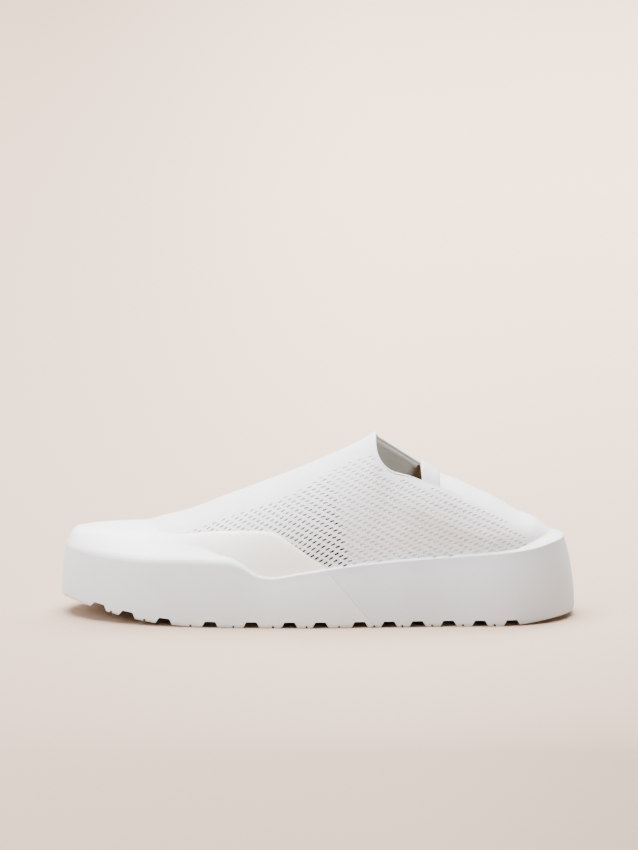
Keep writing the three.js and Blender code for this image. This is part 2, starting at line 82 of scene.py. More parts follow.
# Tables of the model: shares of the sizes above, from the toe (0) to the heel (1)
OUTLINE_COLUMNS = ("at", "lateral", "medial", "swing", "rim")
OUTLINE = (
    (0.0, 0.8, 0.9, 0.14, 0.16),
    (0.1, 0.86, 0.94, 0.1, 0.34),
    (0.2, 0.93, 0.98, 0.05, 0.5),
    (0.33, 0.99, 1.01, 0.01, 0.55),
    (0.45, 1.0, 0.94, 0.0, 0.55),
    (0.6, 1.03, 0.855, 0.0, 0.58),
    (0.7, 1.085, 0.88, 0.0, 0.62),
    (0.8, 1.085, 0.915, 0.0, 0.7),
    (0.9, 1.06, 0.91, 0.0, 0.85),
    (1.0, 1.02, 0.89, 0.0, 1.0),
)
SECTION_COLUMNS = ("at", "crest", "spring", "ridge", "outer", "inner")
SECTIONS = (
    (0.0, 0.458, 0.645, 0.5, 2.6, 2.6),
    (0.06, 0.474, 0.62, 0.5, 2.6, 2.6),
    (0.15, 0.488, 0.59, 0.51, 2.5, 2.5),
    (0.19, 0.52, 0.58, 0.52, 2.4, 2.4),
    (0.24, 0.556, 0.57, 0.53, 2.3, 2.3),
    (0.32, 0.641, 0.55, 0.54, 2.1, 2.2),
    (0.39, 0.715, 0.545, 0.54, 2.0, 2.1),
    (0.455, 0.785, 0.555, 0.54, 1.9, 2.05),
    (0.52, 0.862, 0.58, 0.53, 1.85, 2.05),
    (0.575, 0.932, 0.6, 0.52, 1.85, 2.1),
    (0.604, 0.973, 0.615, 0.51, 1.85, 2.35),
    (0.621, 1.0, 0.62, 0.51, 1.85, 2.6),
    (0.655, 0.942, 0.64, 0.5, 1.95, 3.6),
    (0.71, 0.842, 0.67, 0.5, 2.55, 3.9),
    (0.76, 0.769, 0.7, 0.5, 3.0, 3.6),
    (0.84, 0.668, 0.75, 0.5, 2.85, 3.2),
    (0.915, 0.564, 0.79, 0.5, 2.7, 2.8),
    (0.95, 0.533, 0.81, 0.5, 2.6, 2.7),
    (1.0, 0.462, 0.83, 0.5, 2.6, 2.6),
)
WALL_COLUMNS = ("at", "top", "shoulder")
WALL = (
    (0.0, 0.884, 0.33),
    (0.07, 0.88, 0.9),
    (0.15, 0.856, 1.0),
    (0.22, 0.866, 1.0),
    (0.32, 0.852, 0.9),
    (0.353, 0.774, 0.5),
    (0.378, 0.66, 0.25),
    (0.41, 0.611, 0.13),
    (0.47, 0.669, 0.12),
    (0.58, 0.768, 0.12),
    (0.67, 0.819, 0.12),
    (0.795, 0.869, 0.12),
    (0.933, 0.94, 0.13),
    (1.0, 1.0, 0.14),
)
GROUND_COLUMNS = ("at", "toe", "heel", "floor")
GROUND = (
    (0.0, 1.0, 0.0, 0.93),
    (0.033, 0.9, 0.0, 0.9),
    (0.08, 0.64, 0.0, 0.86),
    (0.138, 0.34, 0.0, 0.81),
    (0.21, 0.1, 0.0, 0.755),
    (0.28, 0.0, 0.0, 0.725),
    (0.4, 0.0, 0.0, 0.72),
    (0.55, 0.0, 0.0, 0.79),
    (0.7, 0.0, 0.0, 0.91),
    (0.87, 0.0, 0.0, 0.985),
    (1.0, 0.0, 1.0, 1.0),
)
FILM_EDGE = (
    (0.173, 0.6),
    (0.178, 0.535),
    (0.189, 0.507),
    (0.207, 0.476),
    (0.238, 0.476),
    (0.3, 0.499),
    (0.39, 0.508),
    (0.411, 0.502),
    (0.424, 0.486),
    (0.468, 0.407),
)
SEAM_HEAD = 0.725
SEAM_FOOT = 0.613
MOUTH_FRONT = 0.611
BAND_FRONT = 0.701
BAND_BACK = 0.737
MOUTH_ROUND = 5.6
PANEL_SIDE_COLUMNS = ("along", "lateral", "medial")
PANEL_SIDE = (
    (BAND_FRONT, 0.69, 0.51),
    (0.8, 0.66, 0.5),
    (0.896, 0.74, 0.6),
    (0.925, 0.88, 0.76),
    (0.95, 1.3, 1.25),
    (1.1, 1.5, 1.5),
)
LUG_GAPS = (0.073, 0.129, 0.201, 0.291, 0.371, 0.445, 0.505, 0.581, 0.638, 0.693, 0.753, 0.814, 0.876)
SIPES = (0.098, 0.163, 0.253, 0.336, 0.413, 0.478, 0.541, 0.609, 0.663, 0.721, 0.781, 0.842)
CHANNEL_ENDS = (0.291, 0.814)

BALL_END = 0.45
HEEL_START = 0.8
TOE_PLAN_ROUND = 2.3
HEEL_PLAN_ROUND = 2.2
BLUNT_ROUND = 2.8
FLARE_CURVE = 2.2
RECESS_END = (0.72, 0.86)
SIDE_REACH = BALL_WIDTH  # how far the tools reach to each side
OVERSHOOT = 20
SEAM_WIDTH = 0.12
EDGE_RISE = 0.9  # height of the tread edge's rounding, as a share of TREAD_EDGE
SIDE_LEVELS = (0.25, 0.4, 0.55, 0.7, 0.8)  # levels of the wall between its roundings
LEAN_SPAN = 0.01  # share of the length over which the underside's lean is taken
CUT_START = 5.0  # how far below the ground a groove's tool starts
SIPE_SIZES = (1.3, 1.1, 1.5)  # a fine cut's width at the ground, at its roof, and its depth
MOUTH_SIDES = (0.72, 0.96, 34)  # the mouth's sides: first and last place, and how many
MOUTH_END = 1.1


# Curves through the tables
def column(table, names, name):
    """Smooth monotone curve through one column of a table."""
    x = np.array([row[0] for row in table])
    y = np.array([row[names.index(name)] for row in table])
    slope = np.diff(y) / np.diff(x)
    tangent = np.zeros(len(x))
    for i in range(1, len(x) - 1):
        before, after = slope[i - 1], slope[i]
        tangent[i] = 0 if before * after <= 0 else 2 * before * after / (before + after)

    def value(at):
        place = np.clip(at, x[0], x[-1])
        i = np.clip(np.searchsorted(x, place, side="right") - 1, 0, len(x) - 2)
        step = x[i + 1] - x[i]
        t = (place - x[i]) / step
        bend = (t - 1) * tangent[i] * step + t * tangent[i + 1] * step
        return y[i] + (y[i + 1] - y[i]) * t * t * (3 - 2 * t) + t * (t - 1) * bend

    return value


def curves(table, names):
    """One curve for each column after the first."""
    return [column(table, names, name) for name in names[1:]]


def smooth(x, low, high):
    t = np.clip((np.asarray(x, dtype=float) - low) / (high - low), 0, 1)
    return t * t * (3 - 2 * t)


def mix(a, b, t):
    return a + (b - a) * t


def closure(distance, reach, roundness):
    """Share of the full size at a distance from a rounded end."""
    left = np.maximum(0, 1 - distance / reach)
    return (1 - left ** roundness) ** (1 / roundness)


def along(share):
    return (share - 0.5) * LENGTH


def respaced(points, count):
    """Evenly spaced points along an open line."""
    run = np.concatenate([[0], np.cumsum(np.linalg.norm(np.diff(points, axis=0), axis=1))])
    wanted = np.linspace(0, run[-1], count)
    return np.column_stack([np.interp(wanted, run, points[:, k]) for k in range(2)])


lateral_share, medial_share, swing, rim_share = curves(OUTLINE, OUTLINE_COLUMNS)
crest, spring, ridge, outer_round, inner_round = curves(SECTIONS, SECTION_COLUMNS)
wall_top, shoulder = curves(WALL, WALL_COLUMNS)
toe_rise, heel_rise, floor_share = curves(GROUND, GROUND_COLUMNS)
lateral_side, medial_side = curves(PANEL_SIDE, PANEL_SIDE_COLUMNS)

EDGE_LENGTH = LENGTH - TOE_FLARE - HEEL_FLARE


def flare(at):
    return mix(TOE_FLARE, HEEL_FLARE, at)


def ground_z(at):
    return TOE_SPRING * toe_rise(at) + HEEL_BEVEL * heel_rise(at)


def floor_z(at):
    return FLOOR_HEIGHT * floor_share(at)


def wall_z(at):
    return WALL_HEIGHT * wall_top(at)


def at_of_t(t):
    return (1 - np.cos(np.pi * np.asarray(t))) / 2


def t_of_x(x):
    at = (np.asarray(x, dtype=float) + LENGTH / 2 - TOE_FLARE) / EDGE_LENGTH
    return np.arccos(np.clip(1 - 2 * at, -1, 1)) / np.pi


# The outline and the upper's outermost surface on one fine grid
FINE = 640  # steps from toe to heel
HALF = 60  # steps from the upper's foot to its crest


def raw_edge(at, side):
    half = mix(BALL_WIDTH, HEEL_WIDTH, smooth(at, BALL_END, HEEL_START)) / 2
    share = lateral_share(at) if side < 0 else medial_share(at)
    toe = closure(at * EDGE_LENGTH, TOE_ROUND, TOE_PLAN_ROUND)
    heel = closure((1 - at) * EDGE_LENGTH, HEEL_ROUND, HEEL_PLAN_ROUND)
    x = TOE_FLARE - LENGTH / 2 + at * EDGE_LENGTH
    y = swing(at) * BALL_WIDTH / 2 + side * half * share * toe * heel
    return np.stack([x, y], axis=1)


def outward(points):
    """Outward directions of a closed walk that runs anticlockwise."""
    run = np.roll(points, -1, axis=0) - np.roll(points, 1, axis=0)
    run /= np.linalg.norm(run, axis=1)[:, None]
    return np.stack([run[:, 1], -run[:, 0]], axis=1)


fine_t = np.linspace(0, 1, FINE + 1)
fine_at = at_of_t(fine_t)
walk = np.vstack([raw_edge(fine_at, -1), raw_edge(fine_at, 1)[-2:0:-1]])
walk_out = outward(walk)
lateral_index = np.arange(FINE + 1)
medial_index = np.concatenate([[0], 2 * FINE - np.arange(1, FINE + 1)])


def fine_edge(side, out):
    index = lateral_index if side < 0 else medial_index
    return walk[index] + walk_out[index] * np.asarray(out)[:, None]


reach = np.concatenate([fine_edge(side, flare(fine_at))[:, 1] for side in (-1, 1)])
MIDDLE = (reach.min() + reach.max()) / 2
walk[:, 1] -= MIDDLE


def edge(t, side, out):
    """The outline moved outwards, at any places t."""
    index = lateral_index if side < 0 else medial_index
    base = np.stack([np.interp(t, fine_t, walk[index, k]) for k in range(2)], axis=1)
    away = np.stack([np.interp(t, fine_t, walk_out[index, k]) for k in range(2)], axis=1)
    away /= np.linalg.norm(away, axis=1)[:, None]
    return base + away * np.broadcast_to(out, np.shape(t))[:, None]


def quarter(half_width, height, roundness):
    """Half of a rounded arch as evenly spaced points, from the side to the crest."""
    angle = np.linspace(0, math.pi / 2, 4 * HALF + 1)
    x = np.cos(angle).clip(0) ** (2 / roundness)
    y = np.sin(angle) ** (2 / roundness)
    length = np.concatenate([[0], np.cumsum(np.hypot(np.diff(x) * half_width, np.diff(y) * height))])
    wanted = np.linspace(0, length[-1], HALF + 1)
    return np.interp(wanted, length, x), np.interp(wanted, length, y), length[-1]


def skin_grid():
    """The outermost surface of the upper, station by station, lateral to medial, with its half lengths."""
    rim = -RIM_WIDTH * rim_share(fine_at)
    feet = {side: fine_edge(side, rim) for side in (-1, 1)}
    base = WALL_HEIGHT * spring(fine_at)
    toe = closure(fine_at * EDGE_LENGTH, TOE_BLUNT, BLUNT_ROUND)
    heel = closure((1 - fine_at) * EDGE_LENGTH, HEEL_BLUNT, BLUNT_ROUND)
    rise = (COLLAR_HEIGHT * crest(fine_at) - base) * toe * heel
    place = ridge(fine_at)
    rounds = {-1: outer_round(fine_at), 1: inner_round(fine_at)}
    grid = np.zeros((FINE + 1, 2 * HALF + 1, 3))
    lengths = np.zeros((FINE + 1, 2))
    for i in range(FINE + 1):
        middle = mix(feet[-1][i], feet[1][i], place[i])
        for k, side in enumerate((-1, 1)):
            foot = feet[side][i]
            x, y, total = quarter(np.linalg.norm(foot - middle), rise[i], rounds[side][i])
            flat = middle + (foot - middle) * x[:, None]
            arch = np.column_stack([flat, base[i] + rise[i] * y])
            lengths[i, k] = total
            if side < 0:
                grid[i, : HALF + 1] = arch
            else:
                grid[i, HALF:] = arch[::-1]
    return grid, lengths


skin, half_lengths = skin_grid()


def skin_directions():
    lengthwise = np.gradient(skin, axis=0)
    across = np.gradient(skin, axis=1)
    out = np.cross(lengthwise, across)
    out /= np.maximum(np.linalg.norm(out, axis=2), 1e-9)[:, :, None]
    for k, index in ((0, lateral_index), (2 * HALF, medial_index)):
        out[:, k, :2] = walk_out[index]
        out[:, k, 2] = 0
    out[0] = (-1, 0, 0)
    out[-1] = (1, 0, 0)
    return out


skin_out = skin_directions()


def on_skin(t, v, offset=0.0):
    """Points at places t along the shoe and v over the arch, moved outwards by offset."""
    t, v, offset = np.broadcast_arrays(t, v, offset)
    i = np.clip(t * FINE, 0, FINE - 1e-6)
    k = np.clip(v * 2 * HALF, 0, 2 * HALF - 1e-6)
    i0, k0 = i.astype(int), k.astype(int)
    a, b = (i - i0)[..., None], (k - k0)[..., None]

    def sample(grid):
        low = grid[i0, k0] * (1 - b) + grid[i0, k0 + 1] * b
        high = grid[i0 + 1, k0] * (1 - b) + grid[i0 + 1, k0 + 1] * b
        return low * (1 - a) + high * a

    away = sample(skin_out)
    away /= np.maximum(np.linalg.norm(away, axis=-1), 1e-9)[..., None]
    return sample(skin) + away * offset[..., None]


def v_of_y(t, y):
    """Place over the arch where the skin has a given y, at one place t."""
    row = on_skin(np.full(2 * HALF + 1, t), np.linspace(0, 1, 2 * HALF + 1))
    return np.interp(y, row[:, 1], np.linspace(0, 1, 2 * HALF + 1))


def every_second_point():
    tree = KDTree((FINE // 2 + 1) * (HALF + 1))
    for i in range(0, FINE + 1, 2):
        for k in range(0, 2 * HALF + 1, 2):
            tree.insert(Vector(skin[i, k] * MM), i * (2 * HALF + 1) + k)
    tree.balance()
    return tree


skin_tree = every_second_point()


def nearest(place):
    """The skin's point next to a place in metres, and its outward direction."""
    _, index, _ = skin_tree.find(place)
    i, k = divmod(index, 2 * HALF + 1)
    return skin[i, k], skin_out[i, k]


def push(vertex, distance):
    """Moves a vertex away from the skin, or towards it."""
    vertex.co += Vector(nearest(vertex.co)[1]) * distance * MM


# Meshes
def mesh_object(name, points, faces):
    mesh = bpy.data.meshes.new(name)
    mesh.from_pydata((np.asarray(points) * MM).tolist(), [], faces)
    obj = bpy.data.objects.new(name, mesh)
    bpy.context.scene.collection.objects.link(obj)
    return obj


def welded(obj, distance=2e-7):
    """Merges points that fall together, drops faces that vanish and turns all faces outwards."""
    work = bmesh.new()
    work.from_mesh(obj.data)
    bmesh.ops.remove_doubles(work, verts=work.verts, dist=distance)
    bmesh.ops.dissolve_degenerate(work, dist=distance, edges=work.edges)
    bmesh.ops.recalc_face_normals(work, faces=work.faces)
    if work.calc_volume(signed=True) < 0:
        bmesh.ops.reverse_faces(work, faces=work.faces)
    work.to_mesh(obj.data)
    work.free()
    return obj


def loft(name, rings):
    """A closed solid through rings of points, whose end rings shrink to a line."""
    rings = np.asarray(rings)
    rows, count = rings.shape[:2]
    faces = []
    for i in range(rows - 1):
        for j in range(count):
            k = (j + 1) % count
            faces.append((i * count + j, (i + 1) * count + j, (i + 1) * count + k, i * count + k))
    return welded(mesh_object(name, rings.reshape(-1, 3), faces))


def tube(name, rings):
    """A loft whose end rings are closed at their middles."""
    ends = [np.repeat(ring.mean(axis=0, keepdims=True), len(ring), axis=0) for ring in (rings[0], rings[-1])]
    return loft(name, np.concatenate([ends[:1], rings, ends[1:]]))


def slab(name, top, bottom):
    """A closed sheet between two equal grids of points."""
    rows, count = top.shape[:2]
    size = rows * count
    points = np.vstack([top.reshape(-1, 3), bottom.reshape(-1, 3)])
    faces = []
    for i in range(rows - 1):
        for j in range(count - 1):
            a, b = i * count + j, (i + 1) * count + j
            faces.append((a, b, b + 1, a + 1))
            faces.append((size + a, size + a + 1, size + b + 1, size + b))
    border = [(0, j) for j in range(count - 1)] + [(i, count - 1) for i in range(rows - 1)]
    border += [(rows - 1, j) for j in range(count - 1, 0, -1)] + [(i, 0) for i in range(rows - 1, 0, -1)]
    index = [i * count + j for i, j in border]
    for a, b in zip(index, index[1:] + index[:1]):
        faces.append((a, b, size + b, size + a))
    return welded(mesh_object(name, points, faces))


def form(name, out, foot, stations, arch):
    """The upper's form grown by a distance, or one for each station, with straight sides down to a height."""
    t = np.linspace(0, 1, stations + 1)
    at = at_of_t(t)
    grown = np.broadcast_to(out(at) if callable(out) else out, at.shape)
    points = on_skin(t[:, None], np.linspace(0, 1, arch + 1), grown[:, None])
    low = points[:, [0, -1]].copy()
    low[:, :, 2] = foot(at)[:, None]
    return loft(name, np.concatenate([low[:, :1], points, low[:, 1:]], axis=1))


def block(name, levels, stations):
    """A block whose side is the outline moved by a distance at each level."""
    t = np.linspace(0, 1, stations + 1)
    at = at_of_t(t)
    columns = []
    for side in (-1, 1):
        chain = []
        for level in levels:
            out, z = level(at)
            chain.append(np.column_stack([edge(t, side, out), np.broadcast_to(z, at.shape)]))
        columns += chain if side < 0 else chain[::-1]
    return loft(name, np.stack(columns, axis=1))


def prism(name, outline, view, low, high):
    """A straight solid on an outline in plan, or in side view with its depth across the shoe."""
    outline = np.asarray(outline, dtype=float)
    count = len(outline)
    order = [0, 1, 2] if view == "plan" else [0, 2, 1]
    ends = [np.column_stack([outline, np.full(count, float(depth))])[:, order] for depth in (low, high)]
    faces = [tuple(range(count)), tuple(range(2 * count - 1, count - 1, -1))]
    faces += [(i, i + count, (i + 1) % count + count, (i + 1) % count) for i in range(count)]
    return welded(mesh_object(name, np.vstack(ends), faces))


def side_prism(name, outline):
    """A tool on an outline in side view, right across the shoe."""
    return prism(name, outline, "side", -SIDE_REACH, SIDE_REACH)


def plan_prism(name, outline):
    """A tool on an outline in plan, from under the shoe to over it."""
    return prism(name, outline, "plan", -OVERSHOOT, COLLAR_HEIGHT + OVERSHOOT)


def ray_tree(body):
    mesh = body.data
    return BVHTree.FromPolygons([v.co[:] for v in mesh.vertices], [p.vertices[:] for p in mesh.polygons])


def carve(obj, tool, operation="DIFFERENCE"):
    """Cuts or intersects obj with a tool, which is then removed."""
    modifier = obj.modifiers.new("carve", "BOOLEAN")
    modifier.object = tool
    modifier.operation = operation
    modifier.solver = "MANIFOLD"
    bpy.context.view_layer.update()
    depsgraph = bpy.context.evaluated_depsgraph_get()
    result = bpy.data.meshes.new_from_object(obj.evaluated_get(depsgraph))
    obj.modifiers.clear()
    obj.data = result
    bpy.data.objects.remove(tool)
    return obj


def finish_surface(obj, material, slot, *nodes, sharp=38):
    """Smooth shading with sharp edges, a material, and the piece's place in the frame."""
    work = bmesh.new()
    work.from_mesh(obj.data)
    limit = math.radians(sharp)
    for item in work.edges:
        item.smooth = len(item.link_faces) == 2 and item.calc_face_angle(0) < limit
    for face in work.faces:
        face.smooth = True
    work.to_mesh(obj.data)
    work.free()
    obj.data.materials.clear()
    obj.data.materials.append(material)
    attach(obj, "root")
    if nodes:
        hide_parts(*nodes)
    return obj


# Materials
KNIT_WHITE = (0.79, 0.80, 0.81)
FILM_WHITE = (0.81, 0.80, 0.805)
FILM_CREAM = (0.93, 0.91, 0.87)
SOLE_WHITE = (0.695, 0.735, 0.77)
# painted shade: the rear part of the sole is a darker, cooler copy of the front's white, standing in for the
# shade on the heel side
SOLE_SHADED_WHITE = (0.64, 0.69, 0.735)
LINING_TONE = (0.89, 0.865, 0.80)
# painted shade: the lining behind the open holes at the front is painted near black, standing in for the dark
# inside of the shoe
LINING_PAINTED_SHADE = (0.07, 0.07, 0.075)
# painted shadow: the lining under the ribbed band is painted deep brown, standing in for the shade the band
# casts
LINING_PAINTED_SHADOW = (0.20, 0.13, 0.07)
PADDING_TONE = (0.92, 0.89, 0.82)
INSOLE_TONE = (0.85, 0.83, 0.79)
PANEL_WHITE = (0.80, 0.79, 0.785)
CREAM_TURN = (0.24, 0.42)  # where the film turns to cream, as shares of the shoe's length
STITCH_PITCH = 1.1
STITCH_SLANTS = (27, -58)
PAINTED_SHADE_TURNS = (  # where the lining's painted shade and painted shadow begin: x at a height, lean by height, and width, in millimetres
    (15.5, 45, -0.26, 3.0),
    (57, 85, 0.4, 6.0),
)


def shade(tone, share):
    return tuple(share * c for c in tone)


class Nodes:
    """A material, with short names for building its node tree."""

    def __init__(self, name, roughness, sheen=0.0, coat=0.0, specular=0.2):
        self.material = bpy.data.materials.new(name)
        self.material.use_nodes = True
        self.tree = self.material.node_tree
        self.shader = self.tree.nodes["Principled BSDF"]
        for key, value in (
            ("Roughness", roughness),
            ("Specular IOR Level", specular),
            ("Sheen Weight", sheen),
            ("Sheen Roughness", 0.4),
            ("Coat Weight", coat),
            ("Coat Roughness", 0.35),
        ):
            self.shader.inputs[key].default_value = value
        self.place = self.add("ShaderNodeTexCoord").outputs["Object"]

    def add(self, kind, **values):
        node = self.tree.nodes.new(kind)
        for key, value in values.items():
            if key in node.inputs:
                node.inputs[key].default_value = value
            else:
                setattr(node, key, value)
        return node

    def link(self, source, target):
        self.tree.links.new(source, target)

    def axes(self):
        split = self.add("ShaderNodeSeparateXYZ")
        self.link(self.place, split.inputs["Vector"])
        return split.outputs

    def noise(self, scale, detail):
        node = self.add("ShaderNodeTexNoise", Scale=scale, Detail=detail)
        self.link(self.place, node.inputs["Vector"])
        return node.outputs["Fac"]

    def wave(self, turn, scale):
        """Waves over the cloth's own coordinates, turned by an angle in degrees."""
        cloth = self.add("ShaderNodeUVMap", uv_map="fabric")
        turned = self.add("ShaderNodeMapping", Rotation=(0, 0, math.radians(turn)))
        self.link(cloth.outputs["UV"], turned.inputs["Vector"])
        node = self.add("ShaderNodeTexWave", Scale=scale)
        self.link(turned.outputs["Vector"], node.inputs["Vector"])
        return node.outputs["Fac"]

    def math(self, operation, *values):
        node = self.add("ShaderNodeMath", operation=operation)
        for socket, value in zip(node.inputs, values):
            if isinstance(value, (int, float)):
                socket.default_value = value
            else:
                self.link(value, socket)
        return node.outputs[0]

    def turn(self, value, low, high, kind="SMOOTHSTEP"):
        """Runs from 0 to 1 while a value runs from low to high."""
        node = self.add("ShaderNodeMapRange", interpolation_type=kind)
        node.inputs["From Min"].default_value = low
        node.inputs["From Max"].default_value = high
        self.link(value, node.inputs["Value"])
        return node.outputs["Result"]

    def blend(self, factor, low, high):
        """A colour between two colours, each a triple or a socket."""
        node = self.add("ShaderNodeMix", data_type="RGBA")
        self.link(factor, node.inputs[0])
        for socket, value in ((node.inputs[6], low), (node.inputs[7], high)):
            if isinstance(value, tuple):
                socket.default_value = (*value, 1)
            else:
                self.link(value, socket)
        return node.outputs[2]

    def paint(self, color):
        self.link(color, self.shader.inputs["Base Color"])

    def tint(self, factor, low, high, start=0.35, end=0.65):
        """Base colour that runs from one colour to another with a factor."""
        ramp = self.add("ShaderNodeValToRGB")
        for element, position, color in zip(ramp.color_ramp.elements, (start, end), (low, high)):
            element.position = position
            element.color = (*color, 1)
        self.link(factor, ramp.inputs["Fac"])
        self.paint(ramp.outputs["Color"])

    def bump(self, height, distance, strength, under=None):
        node = self.add("ShaderNodeBump", Strength=strength, Distance=distance)
        self.link(height, node.inputs["Height"])
        if under is not None:
            self.link(under, node.inputs["Normal"])
        self.link(node.outputs["Normal"], self.shader.inputs["Normal"])
        return node.outputs["Normal"]


def sole_material(name, white):
    """Moulded foam with a fine grain and slight waves."""
    nodes = Nodes(name, 0.55, specular=0.35)
    nodes.tint(nodes.noise(38, 4), shade(white, 0.955), white)
    grain = nodes.bump(nodes.noise(2600, 2), 0.00006, 0.35)
    nodes.bump(nodes.noise(90, 3), 0.0004, 0.12, grain)
    return nodes.material


def film_material():
    """Satin film, clear enough at the sides for the cream under it to show."""
    nodes = Nodes("bonded_film", 0.42, coat=0.12, specular=0.4)
    low, high = (along(share) * MM for share in CREAM_TURN)
    clear = nodes.turn(nodes.axes()["X"], low, high, "SMOOTHERSTEP")
    patch = nodes.math("MULTIPLY_ADD", nodes.noise(30, 2), 0.25, 0.38)
    nodes.tint(nodes.math("ADD", clear, patch), FILM_WHITE, FILM_CREAM, 0.0, 1.0)
    fine = nodes.bump(nodes.noise(1500, 2), 0.00005, 0.3)
    nodes.bump(nodes.noise(60, 2), 0.0006, 0.12, fine)
    return nodes.material


def knit_material(name, white):
    """Knit: fine stitches across and along the cloth, and a soft mottle."""
    nodes = Nodes(name, 0.86, sheen=0.25, specular=0.25)
    nodes.tint(nodes.noise(55, 4), shade(white, 0.94), white)
    rows, slants = (nodes.wave(turn, 5 / STITCH_PITCH) for turn in STITCH_SLANTS)
    stitches = nodes.bump(nodes.math("MULTIPLY", rows, slants), 0.00022, 0.55)
    nodes.bump(nodes.noise(1800, 3), 0.00008, 0.4, stitches)
    return nodes.material


def cloth_nodes(name, roughness, grain=2200):
    """The close weave of plain cloth, without a colour."""
    nodes = Nodes(name, roughness, sheen=0.2)
    weave = nodes.bump(nodes.noise(grain, 2), 0.0001, 0.5)
    nodes.bump(nodes.noise(140, 3), 0.0004, 0.15, weave)
    return nodes


def cloth_material(name, tone, roughness, grain=2200):
    nodes = cloth_nodes(name, roughness, grain)
    nodes.tint(nodes.noise(70, 4), shade(tone, 0.93), tone)
    return nodes.material


def lining_material():
    """Painted shade: near black lining behind the open holes for the dark inside of the shoe, pale cloth at
    the mouth, and a painted brown shadow under the band.
    """
    nodes = cloth_nodes("lining", 0.92)
    axes = nodes.axes()
    turns = []
    for place, height, lean, width in PAINTED_SHADE_TURNS:
        level = nodes.math("SUBTRACT", axes["Z"], height * MM)
        shifted = nodes.math("SUBTRACT", axes["X"], nodes.math("MULTIPLY", level, lean))
        turns.append(nodes.turn(shifted, (place - width / 2) * MM, (place + width / 2) * MM))
    mottle = nodes.blend(nodes.noise(60, 3), shade(LINING_TONE, 0.88), LINING_TONE)
    # painted shade behind the open holes, then the pale lining
    front = nodes.blend(turns[0], LINING_PAINTED_SHADE, mottle)
    # painted shadow under the band
    nodes.paint(nodes.blend(turns[1], front, LINING_PAINTED_SHADOW))
    return nodes.material


# Sole
SEAM_GAP = SEAM_WIDTH * math.hypot(1, SEAM_LEAN)


def flare_at(at, share):
    return flare(at) * (1 - share ** FLARE_CURVE)


def sole_levels():
    """The wall from the tread edge up, with rounded corners at both ends of it."""

    def tread_edge(a):
        return lambda at: (
            flare(at) - SOLE_TUCK * (1 - math.sin(a)),
            ground_z(at) + TREAD_EDGE * EDGE_RISE * (1 - math.cos(a)),
        )

    def side(share):
        return lambda at: (flare_at(at, share), mix(ground_z(at), wall_z(at), share))

    def rim(a):
        def level(at):
            radius = SHOULDER * shoulder(at)
            height = wall_z(at) - ground_z(at)
            inwards = radius * (1 - math.cos(a))
            return flare_at(at, (height - radius) / height) - inwards, wall_z(at) - radius * (1 - math.sin(a))

        return level

    edge_turn, rim_turn = (np.linspace(0, math.pi / 2, steps + 1) for steps in (4, 6))
    return [*map(tread_edge, edge_turn), *map(side, SIDE_LEVELS), *map(rim, rim_turn)]


def seam_x(z):
    return along(SEAM_FOOT) - SEAM_LEAN * z


def sole_half(side):
    """A tool for one side of the seam, -1 in front of it and 1 behind."""
    top = WALL_HEIGHT + OVERSHOOT
    shift = side * SEAM_GAP / 2
    end = side * LENGTH
    outline = [
        (seam_x(-OVERSHOOT) + shift, -OVERSHOOT),
        (end, -OVERSHOOT),
        (end, top),
        (seam_x(top) + shift, top),
    ]
    return side_prism("half", outline)


def tread_cut(share, foot_width, roof_width, depth):
    """One groove across the tread, square to the underside where it lies."""
    heights = ground_z(share + LEAN_SPAN * np.array([-1, 0, 1]))
    lean = math.atan2(heights[2] - heights[0], 2 * LEAN_SPAN * LENGTH)
    foot = foot_width / 2 + (foot_width - roof_width) / 2 * CUT_START / depth
    corners = [(-foot, -CUT_START), (foot, -CUT_START), (roof_width / 2, depth), (-roof_width / 2, depth)]
    turned = [
        (
            along(share) + x * math.cos(lean) - z * math.sin(lean),
            heights[1] + x * math.sin(lean) + z * math.cos(lean),
        )
        for x, z in corners
    ]
    return side_prism("groove", turned)


def make_sole():
    cuts = [(share, LUG_GAP, LUG_GAP_ROOF, LUG_DEPTH) for share in LUG_GAPS]
    cuts += [(share, *SIPE_SIZES) for share in SIPES]
    half = CHANNEL_WIDTH / 2
    front, back = (along(share) for share in CHANNEL_ENDS)
    channel = [(front, -half), (back, -half), (back, half), (front, half)]
    for name, side, clear, color, slot in (
        ("sole_front", -1, FIT, SOLE_WHITE, "sole_foam"),
        # the rear part takes the darker copy of the white as painted shade
        ("sole_rear", 1, -FILM_WALL, SOLE_SHADED_WHITE, "sole_foam_rear"),
    ):
        body = block(name + "_shell", sole_levels(), 260)
        carve(body, sole_half(side), "INTERSECT")
        for cut in cuts:
            carve(body, tread_cut(*cut))
        carve(body, prism("channel", channel, "plan", -OVERSHOOT, CHANNEL_DEPTH))
        carve(body, form("cup", clear, floor_z, 180, 90))
        finish_surface(body, sole_material(name + "_foam", color), slot, name)


# Upper
UPPER_OUT = -FILM_WALL - FIT  # the knit's outer face, from the outermost skin
UPPER_IN = UPPER_OUT - UPPER_WALL


def panel_out(at):
    return UPPER_OUT - PANEL_RECESS * (1 - smooth(at, *RECESS_END))


def foot_z(at):
    return floor_z(at) + FIT


# The soft foot with which the upper spreads on the rim: how far it reaches round the rim's rounding, as a
# share of it from the outer side (0) to the top (1), how high it starts in millimetres, and how steep it
# stands at its foot, from a hollow fillet (0) to a bulge that stands upright (1)
FOOT_COLUMNS = ("at", "reach", "height", "upright")
FOOT = (
    (0.0, 0.45, 6.0, 0.0),
    (0.2, 0.45, 6.5, 0.0),
    (0.26, 0.5, 6.0, 0.0),
    (0.325, 0.85, 0.8, 0.0),
    (0.47, 0.9, 0.4, 0.0),
    (0.9, 0.9, 0.4, 0.0),
    (0.96, 0.85, 2.4, 0.6),
    (1.0, 0.85, 2.6, 0.6),
)
FOOT_SEAT = 0.06  # air between the fillet and the rim
FOOT_ROOT = 0.8  # how deep the fillet starts inside the upper's wall
RAY_START = 20
FOOT_CURVE = 1.4  # how hollow the fillet is


